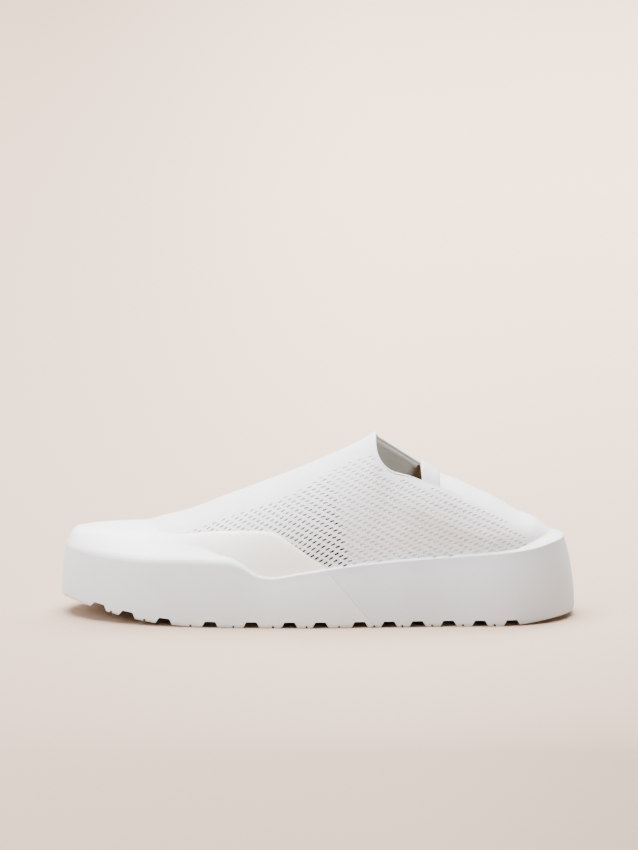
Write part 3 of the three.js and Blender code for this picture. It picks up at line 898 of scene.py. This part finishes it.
def foot_fillet(body):
    """A closed ring round the shoe that fills the corner between the upper's side and the rim."""
    reach, height, upright = curves(FOOT, FOOT_COLUMNS)
    tree = ray_tree(body)
    walk_at = np.concatenate([fine_at, fine_at[-2:0:-1]])
    rings = []
    for n in range(0, len(walk), 4):
        at, base, away = float(walk_at[n]), walk[n], walk_out[n]
        radius = SHOULDER * float(shoulder(at))
        top = float(wall_z(at))
        tall = top - float(ground_z(at))
        side = float(flare_at(at, (tall - radius) / tall))

        def hit(z):
            start = Vector((*(base + away * RAY_START), z)) * MM
            place = tree.ray_cast(start, Vector((-away[0], -away[1], 0)))[0]
            return -RIM_WIDTH if place is None else float(np.dot(np.array(place[:2]) / MM - base, away))

        profile = []
        for share in np.linspace(float(reach(at)), 1, 5):
            angle = share * math.pi / 2
            seat = radius + FOOT_SEAT
            profile.append((side - radius + seat * math.cos(angle), top - radius + seat * math.sin(angle)))
        low = profile[-1][1]
        high = low + float(height(at))
        profile += [(hit(low) - FOOT_ROOT, low), (hit(high) - FOOT_ROOT, high)]
        spread = profile[0][0] - hit(low)
        for share in np.linspace(1, 0, 13)[:-1]:
            z = mix(profile[0][1], high, share)
            swell = mix((1 - share) ** FOOT_CURVE, (1 - share ** 2) ** 2, float(upright(at)))
            profile.append((hit(max(z, low)) + spread * swell, z))
        rings.append([(*(base + away * out), z) for out, z in profile])
    return loft("foot_fillet", rings + rings[:1])


def through_z(at):
    return floor_z(at) - OVERSHOOT / 4


def side_y(share, side):
    return side * HEEL_WIDTH * (lateral_side if side < 0 else medial_side)(share) / 2


def mouth_outline(turn=28):
    """The mouth and the panel's opening in plan, anticlockwise, with a rounded front."""
    front, back = along(MOUTH_FRONT), along(BAND_FRONT)
    angles = np.linspace(0, math.pi / 2, turn + 1)
    x = back - (back - front) * np.cos(angles).clip(0) ** (2 / MOUTH_ROUND)
    y = np.sin(angles) ** (2 / MOUTH_ROUND)
    shares = np.concatenate([np.linspace(*MOUTH_SIDES), [MOUTH_END]])
    lateral = np.column_stack([along(shares), side_y(shares, -1)])
    medial = np.column_stack([along(shares), side_y(shares, 1)])
    first = np.column_stack([x, side_y(BAND_FRONT, -1) * y])
    last = np.column_stack([x, side_y(BAND_FRONT, 1) * y])
    return np.vstack([first, lateral, medial[::-1], last[:0:-1]])


mouth = mouth_outline()


def film_edge_curve(count=120):
    """The film's upper edge from the side, from the toe cap's crossing down to the seam."""
    points = [(along(a), up * COLLAR_HEIGHT) for a, up in FILM_EDGE]
    head = SEAM_HEAD * WALL_HEIGHT
    points.append((seam_x(head), head))
    points = np.array(points)
    for _ in range(3):
        left = 0.75 * points[:-1] + 0.25 * points[1:]
        right = 0.25 * points[:-1] + 0.75 * points[1:]
        middle = np.stack([left, right], axis=1).reshape(-1, 2)
        points = np.vstack([points[:1], middle, points[-1:]])
    return respaced(points, count)


film_edge = film_edge_curve()


def under_film(x, z, margin=0.0):
    """Whether a point in side view is covered by the film, or nearer to its edge than the margin."""
    edge_z = np.interp(x, film_edge[:, 0], film_edge[:, 1], left=999, right=-999)
    return z < edge_z + margin


# The holes in the knit, in millimetres in side view. Rows run along the shoe and fall towards the heel.
# The first point lies on a hole; step and fall lead to the next hole of a row, lean and drop to the next row.
HOLE_START = (-18.8, 55.3)
HOLE_COLUMNS = ("x", "step", "fall", "lean", "drop")
HOLE_ROWS = (
    (-85, 2.05, 0.8, -1.3, 3.8),
    (-40, 2.37, 1.13, -0.9, 4.0),
    (-19, 2.46, 1.24, -0.7, 4.0),
    (10, 2.58, 1.33, -0.6, 4.1),
    (48, 2.61, 1.3, -0.4, 4.25),
    (77, 2.75, 1.24, 0.0, 4.25),
    (120, 2.8, 1.18, 0.5, 4.25),
)
HOLES_AHEAD = 32  # holes of a row before and behind the first
HOLES_BEHIND = 52
HOLE_LENGTH = 3.1
HOLE_WIDTH = 1.1
HOLE_SLANTS = (31, 18)
HOLE_CORNERS = 10
HOLE_ROUNDS = (0.7, 0.8)  # how square a hole's outline is along it and across it
HOLE_LINES = (-14, 16)  # first row and the row after the last
HOLE_LAST = 128  # no holes behind this
STRIP_FREE = 9  # how far below the strip a hole counts behind the strip's end
HOLE_LEVELS = 160  # steps up the side in which a hole's height is looked for
HOLE_START_OUT = 5.0
HOLE_THROUGH = 1.2  # how far a hole's tool runs past the knit's wall
HOLE_PIT = 0.5  # how deep the closed dashes are behind the see-through area
SLANT_TURN = (0.9, 45, -6, 12)  # where the holes' slant turns: lean, height, first and last place
RIM_CLEAR = 0.4  # least height of a hole over the rim
WALL_LAP = 3.5  # how far below the rim holes are still looked for
FILM_LAP = 1.2
OPEN_EDGE = (16.4, 45, -0.26)  # where the see-through area ends: x at a height, and its lean
RIM_BORDER = 2.0  # plain border round the mouth, and beside the panel behind it
REAR_BORDER = 0.5
REAR_TURN = (0.78, 0.88)  # shares of the length over which one border runs into the other
STRIP_FADE = (0.62, 0.2)  # size of a hole at the strip's edge, and its growth for each millimetre below it
REAR_FADE = (0.6, 0.15)  # the same beside the panel
FADED_LENGTH = 0.75
KNIT_RIDGE = ((44, 68.5), (50.4, 65.4), (67, 56.5), (83.7, 48.8), (101, 43.5), (122, 39.5))  # in side view
RIDGE_HEIGHT = 1.0
RIDGE_WIDTH = 5.5
RIDGE_RISE = (-6, 12)  # where the ridge starts and is full, from its first point
RIDGE_FALL = 22  # length over which it ends
RIDGE_CLEAR = 4  # height over the insole's floor from which the knit follows the ridge
STRIP_COLUMNS = ("x", "height")
STRIP = (  # the lower edge of the plain strip over the instep, in side view
    (-86, 46.4),
    (-75, 49.2),
    (-58, 55.8),
    (-47.5, 59.1),
    (-35, 63.6),
    (-16, 70.0),
    (-3, 77.5),
    (14, 87.0),
    (21.6, 90.3),
    (28, 92.4),
    (34, 92.6),
)
VIEW_TILT = 0.1496  # how far a point seen from the side shifts up for each millimetre away


def inside_distance(points, outline):
    """Signed distance of points from a closed outline in plan, positive inside."""
    a = outline
    b = np.roll(outline, -1, axis=0)
    run = b - a
    result = np.empty(len(points))
    for n, point in enumerate(points):
        t = np.clip(((point - a) * run).sum(1) / np.maximum((run * run).sum(1), 1e-9), 0, 1)
        near = a + run * t[:, None]
        distance = np.sqrt(((point - near) ** 2).sum(1)).min()
        crossing = (a[:, 1] > point[1]) != (b[:, 1] > point[1])
        x = a[:, 0] + (point[1] - a[:, 1]) * run[:, 0] / np.where(run[:, 1] == 0, 1e-9, run[:, 1])
        inside = (crossing & (x > point[0])).sum() % 2
        result[n] = distance if inside else -distance
    return result


def ridge_relief(x, height):
    """The soft ridge that runs down the side of the knit from the mouth to the heel."""
    line = np.array(KNIT_RIDGE, dtype=float)
    run = line[1:] - line[:-1]
    gap = np.array([x, height]) - line[:-1]
    t = np.clip((gap * run).sum(1) / (run * run).sum(1), 0, 1)
    distance = np.linalg.norm(gap - run * t[:, None], axis=1).min()
    start, full = (line[0, 0] + by for by in RIDGE_RISE)
    ends = smooth(x, start, full) * (1 - smooth(x, line[-1, 0] - RIDGE_FALL, line[-1, 0]))
    return RIDGE_HEIGHT * math.exp(-((distance / RIDGE_WIDTH) ** 2)) * float(ends)


def raise_ridge(body):
    for vertex in body.data.vertices:
        x, y, z = (c / MM for c in vertex.co)
        if x < KNIT_RIDGE[0][0] + RIDGE_RISE[0] or z < floor_z(at_of_t(t_of_x(x))) + RIDGE_CLEAR:
            continue
        lift = ridge_relief(x, z - VIEW_TILT * abs(y))
        if lift > 0.01:
            push(vertex, lift)


def lattice():
    """The holes' places in side view, row by row."""
    step, fall, lean, drop = curves(HOLE_ROWS, HOLE_COLUMNS)
    columns = {0: np.array(HOLE_START)}
    for way, last in ((-1, -HOLES_AHEAD), (1, HOLES_BEHIND)):
        place = np.array(HOLE_START)
        for i in range(way, last, way):
            x = place[0]
            place = place + way * np.array([step(x) - lean(x) / 3, -fall(x) + drop(x) / 3])
            columns[i] = place
    for i, place in columns.items():
        x = place[0]
        run = np.array([lean(x), -drop(x)])
        for row in range(*HOLE_LINES):
            yield place + run * (row + i / 3)


def side_height(points, side):
    return points[..., 2] - side * VIEW_TILT * points[..., 1]


def lattice_on_skin(side):
    """The lattice's places on one side of the skin, with how far each lies below the plain strip."""
    strip_edge = column(STRIP, STRIP_COLUMNS, "height")
    v = np.linspace(0 if side < 0 else 1, 0.5, HOLE_LEVELS)
    rows = {}
    for x, height in lattice():
        if not STRIP[0][0] < x < HOLE_LAST:
            continue
        t = float(t_of_x(x))
        key = round(x, 3)
        if key not in rows:
            rows[key] = side_height(on_skin(np.full(HOLE_LEVELS, t), v, UPPER_OUT), side)
        heights = rows[key]
        top = int(heights.argmax())
        strip = strip_edge(x) - height if x < STRIP[-1][0] else STRIP_FREE
        if heights[0] < height < heights[top] and strip >= 0:
            yield t, float(np.interp(height, heights[: top + 1], v[: top + 1])), side, x, height, strip


def hole_places():
    """Every hole as its place on the skin, its side, its size, its slant and whether it is closed."""
    found = [*lattice_on_skin(-1), *lattice_on_skin(1)]
    points = on_skin(np.array([f[0] for f in found]), np.array([f[1] for f in found]), UPPER_OUT)
    rim = -inside_distance(points[:, :2], mouth)
    wall = wall_z(at_of_t(np.array([f[0] for f in found])))
    rear = [along(share) for share in REAR_TURN]
    lean, level, *slant_turn = SLANT_TURN
    places = []
    for (t, v, side, x, height, strip), point, border, top in zip(found, points, rim, wall):
        plain = mix(RIM_BORDER, REAR_BORDER, float(smooth(x, *rear)))
        if border < plain or point[2] < top - WALL_LAP or under_film(x, point[2], -FILM_LAP):
            continue
        fade = min(1, STRIP_FADE[0] + STRIP_FADE[1] * strip)
        if x > rear[0]:
            fade = min(fade, REAR_FADE[0] + REAR_FADE[1] * border)
        turn = float(smooth(x + lean * (height - level), *slant_turn))
        closed = x > OPEN_EDGE[0] + OPEN_EDGE[2] * (height - OPEN_EDGE[1])
        places.append((t, v, side, fade, math.radians(mix(*HOLE_SLANTS, turn)), closed))
    return places


def hole_frame(t, v, side, slant):
    """A hole's centre on the knit, and its directions along, across and outwards."""
    step = 0.0005
    spots = on_skin(np.array([t, t + step, t]), np.array([v, v, v - side * 4 * step]), UPPER_OUT)
    centre = spots[0]
    run, up = (spot - centre for spot in spots[1:])
    run /= np.linalg.norm(run)
    up /= np.linalg.norm(up)
    seen = np.array([[run[0], up[0]], [side_height(run, side), side_height(up, side)]])
    share = np.linalg.solve(seen, [math.cos(slant), math.sin(slant)])
    axis = run * share[0] + up * share[1]
    axis /= np.linalg.norm(axis)
    out = np.cross(run, up)
    out /= np.linalg.norm(out)
    return centre, axis, np.cross(out, axis), out * -side


def signed_power(value, power):
    return math.copysign(abs(value) ** power, value)


def hole_cutters(places, body):
    """All holes as one mesh of slanted prisms, through the knit or only a little way into it."""
    tree = ray_tree(body)
    corners = HOLE_CORNERS
    angles = [2 * math.pi * k / corners for k in range(corners)]
    points, faces = [], []
    for t, v, side, fade, slant, closed in places:
        centre, axis, cross, out = hole_frame(t, v, side, slant)
        met = tree.ray_cast(Vector(centre + out * HOLE_START_OUT) * MM, Vector(-out))
        if met[0] is None or met[0].z / MM < wall_z(at_of_t(t)) + RIM_CLEAR:
            continue
        foot = HOLE_START_OUT - met[3] / MM - HOLE_PIT if closed else -UPPER_WALL - HOLE_THROUGH
        length = HOLE_LENGTH * mix(FADED_LENGTH, 1, fade)
        first = len(points)
        for depth in (HOLE_START_OUT, foot):
            for angle in angles:
                ahead = signed_power(math.cos(angle), HOLE_ROUNDS[0]) * length / 2
                aside = signed_power(math.sin(angle), HOLE_ROUNDS[1]) * HOLE_WIDTH / 2 * fade
                points.append(centre + axis * ahead + cross * aside + out * depth)
        ring = list(range(first, first + corners))
        hole = [tuple(ring), tuple(k + corners for k in ring[::-1])]
        for a, b in zip(ring, ring[1:] + ring[:1]):
            hole.append((a, a + corners, b + corners, b))
        faces += hole if side < 0 else [face[::-1] for face in hole]
    return mesh_object("hole_cutters", points, faces)


def fabric_map(obj):
    """Cloth coordinates for the knit's pattern: along the shoe and down from the crest, in centimetres."""
    grid = skin[::4, ::2]
    arc = np.abs(np.linspace(-1, 1, 2 * HALF + 1))[::2]
    sides = (np.linspace(-1, 1, 2 * HALF + 1)[::2] > 0).astype(int)
    tree = KDTree(grid.shape[0] * grid.shape[1])
    down = np.empty(grid.shape[:2])
    for i in range(grid.shape[0]):
        down[i] = arc * half_lengths[::4][i][sides]
        for k in range(grid.shape[1]):
            tree.insert(Vector(grid[i, k] * MM), i * grid.shape[1] + k)
    tree.balance()
    flat = down.reshape(-1)
    mesh = obj.data
    values = np.empty((len(mesh.vertices), 2))
    for vertex in mesh.vertices:
        near = tree.find_n(vertex.co, 3)
        weights = [1 / (distance + 1e-6) for _, _, distance in near]
        total = sum(weights)
        s = sum(flat[index] * weight for (_, index, _), weight in zip(near, weights)) / total
        values[vertex.index] = (vertex.co.x / MM / 10, s / 10)
    while mesh.uv_layers:
        mesh.uv_layers.remove(mesh.uv_layers[0])
    layer = mesh.uv_layers.new(name="fabric")
    loops = np.empty(len(mesh.loops), dtype=int)
    mesh.loops.foreach_get("vertex_index", loops)
    layer.data.foreach_set("uv", values[loops].astype(np.float32).ravel())


def make_upper():
    body = form("knit_upper", UPPER_OUT, foot_z, 170, 92)
    raise_ridge(body)
    foot = foot_fillet(body)
    carve(foot, sole_half(1), "INTERSECT")
    carve(body, foot, "UNION")
    carve(body, form("hollow", UPPER_IN, through_z, 110, 56))
    carve(body, plan_prism("mouth", mouth))
    carve(body, hole_cutters(hole_places(), body))
    fabric_map(body)
    finish_surface(body, knit_material("knit", KNIT_WHITE), "knit", "upper")


FILM_DEPTH = 1.4  # the film is bonded into the knit
EDGE_TAPER = (16.0, 1.3)  # length over which the film sinks towards its edge, over the toes and at the sides
EDGE_SINK = (1.03, 0.4)
EDGE_TURN = (0.19, 0.26)  # shares of the length between the toes and the sides


def make_film():
    low, high = -OVERSHOOT, COLLAR_HEIGHT + OVERSHOOT
    region = [(-LENGTH, low), (seam_x(low) - SEAM_GAP, low), *film_edge[::-1]]
    region += [(film_edge[0, 0], high), (-LENGTH, high)]
    body = form("toe_film_skin", 0, foot_z, 260, 150)
    carve(body, foot_fillet(body), "UNION")
    carve(body, form("film_inside", -FILM_DEPTH, through_z, 200, 110))
    carve(body, side_prism("film_region", region), "INTERSECT")
    thin_film_edge(body)
    finish_surface(body, film_material(), "film", "toe_film", sharp=60)


def thin_film_edge(obj):
    """Lets the film's outer face sink towards the knit near its edge."""
    tree = KDTree(len(film_edge))
    for i, (x, z) in enumerate(film_edge):
        tree.insert(Vector((x, 0, z)) * MM, i)
    tree.balance()
    turn = [along(share) for share in EDGE_TURN]
    for vertex in obj.data.vertices:
        x, y, z = (c / MM for c in vertex.co)
        point, out = nearest(vertex.co)
        _, _, distance = tree.find(Vector((x, 0, z)) * MM)
        sideways = float(smooth(x, *turn))
        taper = mix(*EDGE_TAPER, sideways)
        sink = mix(*EDGE_SINK, sideways) * (1 - float(smooth(distance / MM, 0, taper)))
        if sink > 0 and np.dot(np.array((x, y, z)) - point, out) > -FILM_WALL / 2:
            push(vertex, -sink)


# Heel panel and ribbed band
def panel_grid(x_values, offset, columns, margin=0.0):
    """Points across the folded panel between the mouth's two sides."""
    rows = []
    for x in x_values:
        t = float(t_of_x(x))
        level = float(np.mean(offset(x, np.linspace(0, 1, columns))))
        t = float(t_of_x(2 * x - on_skin(np.array([t]), np.array([0.5]), level)[0, 0]))
        share = x / LENGTH + 0.5
        low = v_of_y(t, side_y(share, -1) + margin)
        high = v_of_y(t, side_y(share, 1) - margin)
        v = np.linspace(low, high, columns)
        rows.append(on_skin(np.full(columns, t), v, offset(x, v)))
    return np.array(rows)


PANEL_FOLDS = (  # soft waves across the slack panel: place along the shoe, depth and half width
    (80, 0.5, 6),
    (92, -0.5, 7),
    (104, 0.35, 7),
    (117, -0.3, 6),
)
FOLDS_END = 126


def make_panel():
    body = form("heel_panel_cloth", panel_out, foot_z, 200, 110)
    carve(body, foot_fillet(body), "UNION")
    carve(body, form("panel_inside", lambda at: panel_out(at) - PANEL_WALL, through_z, 120, 70))
    carve(body, plan_prism("panel_plan", mouth), "INTERSECT")
    front = along(BAND_BACK)
    box = [(front, -SIDE_REACH), (LENGTH, -SIDE_REACH), (LENGTH, SIDE_REACH), (front, SIDE_REACH)]
    carve(body, plan_prism("panel_back", box), "INTERSECT")
    for vertex in body.data.vertices:
        x, y, _ = (c / MM for c in vertex.co)
        if x > FOLDS_END:
            continue
        share = x / LENGTH + 0.5
        low, high = side_y(share, -1), side_y(share, 1)
        across = np.clip((y - low) / (high - low), 0, 1)
        fold = sum(depth * math.exp(-((x - place) / width) ** 2) for place, depth, width in PANEL_FOLDS)
        push(vertex, fold * math.sin(math.pi * across))
    material = cloth_material("stretch_panel", PANEL_WHITE, 0.82, 3000)
    finish_surface(body, material, "stretch_fabric", "heel_panel")


RIB_PITCH = 2.0
RIB_HEIGHT = 0.9
RIB_STRETCH = 1.1  # length of the curved band over its width in plan
BAND_PROUD = 0.3
BAND_SIDE = 0.1  # air at the band's sides
BAND_TUCK = 0.8  # how far its front edge turns in
BAND_TURN = 2  # length of that turn
TOOTH = 0.35


def make_band():
    """The ribbed edge: ribs run along the shoe and end in small teeth at the front."""
    columns = 300
    front, back = along(BAND_FRONT), along(BAND_BACK)
    x_values = np.concatenate([
        front + np.array([0.0, 0.15, 0.5, 1.0]),
        np.linspace(front + BAND_TURN, back - 1.6, 8),
        back + np.array([-1.0, -0.5, -0.06]),
    ])
    ends = np.array([0.0, 0.55, 0.9, 1.0, *([1.0] * 8), 0.85, 0.6, 0.3])
    width = side_y(BAND_FRONT, 1) - side_y(BAND_FRONT, -1)
    rib = 0.5 + 0.5 * np.cos(np.linspace(0, 2 * np.pi * width * RIB_STRETCH / RIB_PITCH, columns))

    def height(x, v):
        full = float(np.interp(x, x_values, ends))
        sink = BAND_TUCK * (1 - full) if x < front + BAND_TURN else 0.0
        return panel_out(at_of_t(t_of_x(x))) + (BAND_PROUD + RIB_HEIGHT * rib) * full - sink

    top = panel_grid(x_values, height, columns, BAND_SIDE)
    bottom = panel_grid(x_values, lambda x, v: panel_out(at_of_t(t_of_x(x))) - BAND_WALL, columns, BAND_SIDE)
    for row in range(3):
        top[row, :, 0] -= TOOTH * rib * (1 - row / 3)
    body = slab("rib_band_knit", top, bottom)
    finish_surface(body, cloth_material("rib_knit", KNIT_WHITE, 0.9, 2600), "rib_knit", "rib_band", sharp=70)


# Lining, collar edge and insole
LINING_GAP = 0.15
LINING_WALL = 0.7
LINING_SHORT = 0.5  # how far it stops short of the mouth's edge


def make_lining():
    outer = UPPER_IN - LINING_GAP
    body = form("lining_cloth", outer, lambda at: foot_z(at) + 1, 130, 70)
    carve(body, form("lining_hollow", outer - LINING_WALL, through_z, 130, 70))
    carve(body, plan_prism("lining_mouth", mouth + outward(mouth) * LINING_SHORT))
    finish_surface(body, lining_material(), "insole_foam")


def rim_path(back, count):
    """The mouth's edge on the upper, from the lateral side round the front to the medial side."""
    outline = mouth_outline(60)
    path = np.roll(outline, len(outline) // 2, axis=0)[::-1]
    flat = respaced(path[path[:, 0] < back], count)
    t = t_of_x(flat[:, 0])
    return t, np.array([v_of_y(*place) for place in zip(t, flat[:, 1])])


def rim_frames(t, v, offset):
    centres = on_skin(t, v, offset)
    out = on_skin(t, v, offset + 1) - centres
    along_rim = np.gradient(centres, axis=0)
    along_rim /= np.linalg.norm(along_rim, axis=1)[:, None]
    into = np.cross(along_rim, out)
    into /= np.linalg.norm(into, axis=1)[:, None]
    return centres, out, into


COLLAR_BACK = 90
COLLAR_ROUND = 0.78
COLLAR_PLACES = 220
COLLAR_ENDS = (30, 0.35)  # places over which the edge grows from its ends, and its size there
PADDING_PLACES = 160
PADDING_GAP = 0.1
PADDING_STEP = (0.0005, 0.002)
PADDING_PROFILE = (  # how far below the rim, and how far in from the knit
    (0.4, 0.0),
    (0.4, 0.9),
    (1.3, 1.5),
    (2.6, 1.9),
    (4.2, 1.8),
    (5.6, 1.3),
    (6.6, 0.5),
    (6.9, 0.0),
)


def padding_roll():
    """A soft roll against the inside of the knit, from the rim down, that follows the skin."""
    t, v = rim_path(along(BAND_FRONT), PADDING_PLACES)
    start, _, into = rim_frames(t, v, 0)
    t_step, v_step = PADDING_STEP
    by_t = (on_skin(t + t_step, v) - start) / t_step
    by_v = (on_skin(t, v + v_step) - start) / v_step
    inwards = np.sign(inside_distance((start + into)[:, :2], mouth).mean())
    share = np.array([
        np.linalg.lstsq(np.column_stack(steps), -into[i] * inwards, rcond=None)[0]
        for i, steps in enumerate(zip(by_t, by_v))
    ])
    rings = [
        on_skin(t + share[:, 0] * down, v + share[:, 1] * down, UPPER_IN - PADDING_GAP - depth)
        for down, depth in PADDING_PROFILE
    ]
    return tube("collar_padding", np.stack(rings, axis=1))


def make_collar():
    """The folded edge round the mouth and the padded roll inside it."""
    t, v = rim_path(COLLAR_BACK, COLLAR_PLACES)
    centres, out, into = rim_frames(t, v, UPPER_OUT - UPPER_WALL / 2)
    grow, least = COLLAR_ENDS
    count = np.arange(COLLAR_PLACES)
    size = COLLAR_ROUND * np.minimum(1, np.minimum(count, count[::-1]) / grow + least)
    turns = np.linspace(0, 2 * math.pi, 13)[:-1]
    rings = np.stack([out * math.cos(a) + into * math.sin(a) for a in turns], axis=1)
    body = tube("collar_edge", centres[:, None] + rings * size[:, None, None])
    fabric_map(body)
    finish_surface(body, knit_material("collar_knit", KNIT_WHITE), "knit")

    body = padding_roll()
    finish_surface(body, cloth_material("padding_cloth", PADDING_TONE, 0.92), "insole_foam", sharp=80)


INSOLE_EDGE = ((0.0, INSOLE_THICKNESS), (0.0, 1.2), (0.4, 0.4), (1.3, 0.0))  # inwards, and below its top


def make_insole():
    inset = FILM_WALL + max(UPPER_WALL, PANEL_WALL) + 2 * FIT
    levels = [
        lambda at, inwards=inwards, below=below: (
            -RIM_WIDTH * rim_share(at) - inset - inwards,
            foot_z(at) + INSOLE_THICKNESS - below,
        )
        for inwards, below in INSOLE_EDGE
    ]
    body = block("insole_bed", levels, 160)
    finish_surface(body, cloth_material("insole_cover", INSOLE_TONE, 0.93), "insole_foam", "insole")


# Floor, light and camera
# painted light and shade: the even paper floor is painted brighter far away and darker near the camera, at
# the near right and at the far left, standing in for how the lamps' light falls on it
FLOOR_NEAR = (0.355, 0.26, 0.2)
FLOOR_NEAR_RIGHT = (0.30, 0.22, 0.17)
FLOOR_FAR = (0.68, 0.505, 0.375)
FLOOR_FAR_LEFT = (0.46, 0.34, 0.25)
FLOOR_START = -0.45  # the near tone's place across the floor, in metres
FLOOR_DEPTH = 2.45
FLOOR_REACH = 14.0
FLOOR_TURN = (-0.26, 0.06)  # where the far floor's tone turns from left to right, in metres
NEAR_TURN = (0.03, 0.2)
LIGHTS = (  # name, place, target, size, power and colour
    ("key", (-2.0, -1.2, 1.3), (0, 0, 0), (1.2, 1.0), 54, (1, 1, 1)),
    ("top", (-0.3, 0.1, 2.2), (0, 0.1, 0), (2.4, 2.0), 275, (1, 1, 1)),
    ("back", (0.7, 2.9, 2.6), (0.5, 2.9, 0), (2.6, 3.2), 520, (1, 0.995, 0.99)),
)
ROOM_LIGHT = 0.3


def make_stage():
    corners = [(-1, -1), (1, -1), (1, 1), (-1, 1)]
    mesh = bpy.data.meshes.new("floor")
    mesh.from_pydata([(x * FLOOR_REACH, y * FLOOR_REACH, 0) for x, y in corners], [], [(0, 1, 2, 3)])
    obj = bpy.data.objects.new("floor", mesh)
    bpy.context.scene.collection.objects.link(obj)
    nodes = Nodes("floor_paper", 0.9, specular=0.1)
    axes = nodes.axes()
    depth = nodes.turn(axes["Y"], FLOOR_START, FLOOR_START + FLOOR_DEPTH, "LINEAR")
    tones = [
        nodes.blend(nodes.turn(axes["X"], *turn), left, right)
        for turn, left, right in (
            (NEAR_TURN, FLOOR_NEAR, FLOOR_NEAR_RIGHT),
            (FLOOR_TURN, FLOOR_FAR_LEFT, FLOOR_FAR),
        )
    ]
    # painted light: the floor's tone runs from the darker near tones to the brighter far ones
    nodes.paint(nodes.blend(nodes.math("POWER", depth, 0.5), *tones))
    nodes.bump(nodes.noise(900, 2), 0.0001, 0.15)
    mesh.materials.append(nodes.material)


def make_lights():
    for name, place, target, size, power, color in LIGHTS:
        light = bpy.data.lights.new(name, "AREA")
        light.shape = "RECTANGLE"
        light.size, light.size_y = size
        light.energy = power
        light.color = color
        obj = bpy.data.objects.new(name, light)
        obj.location = place
        obj.rotation_euler = (Vector(target) - Vector(place)).to_track_quat("-Z", "Y").to_euler()
        bpy.context.scene.collection.objects.link(obj)
    world = bpy.data.worlds.new("room")
    world.use_nodes = True
    world.node_tree.nodes["Background"].inputs["Color"].default_value = (1.0, 1.0, 1.0, 1)
    world.node_tree.nodes["Background"].inputs["Strength"].default_value = ROOM_LIGHT
    bpy.context.scene.world = world


CAMERA_DISTANCE = 6.0
CAMERA_AZIMUTH = 0.0
CAMERA_ELEVATION = 8.5
SENSOR_HEIGHT = 36
FRAME_PIXELS = 850
PIXELS_PER_MM = 1.7117
AIM = (0.0006, 0.0, 0.111)


def make_camera():
    camera = bpy.data.cameras.new("camera")
    camera.sensor_fit = "VERTICAL"
    camera.sensor_height = SENSOR_HEIGHT
    camera.lens = SENSOR_HEIGHT * CAMERA_DISTANCE / (FRAME_PIXELS / PIXELS_PER_MM * MM)
    camera.clip_end = 50
    obj = bpy.data.objects.new("camera", camera)
    azimuth, elevation = math.radians(CAMERA_AZIMUTH), math.radians(CAMERA_ELEVATION)
    away = Vector((
        math.sin(azimuth) * math.cos(elevation),
        -math.cos(azimuth) * math.cos(elevation),
        math.sin(elevation),
    ))
    obj.location = Vector(AIM) + away * CAMERA_DISTANCE
    obj.rotation_euler = (-away).to_track_quat("-Z", "Y").to_euler()
    bpy.context.scene.collection.objects.link(obj)
    bpy.context.scene.camera = obj


make_camera()
make_stage()
make_lights()
make_sole()
make_upper()
make_film()
make_panel()
make_band()
make_lining()
make_collar()
make_insole()
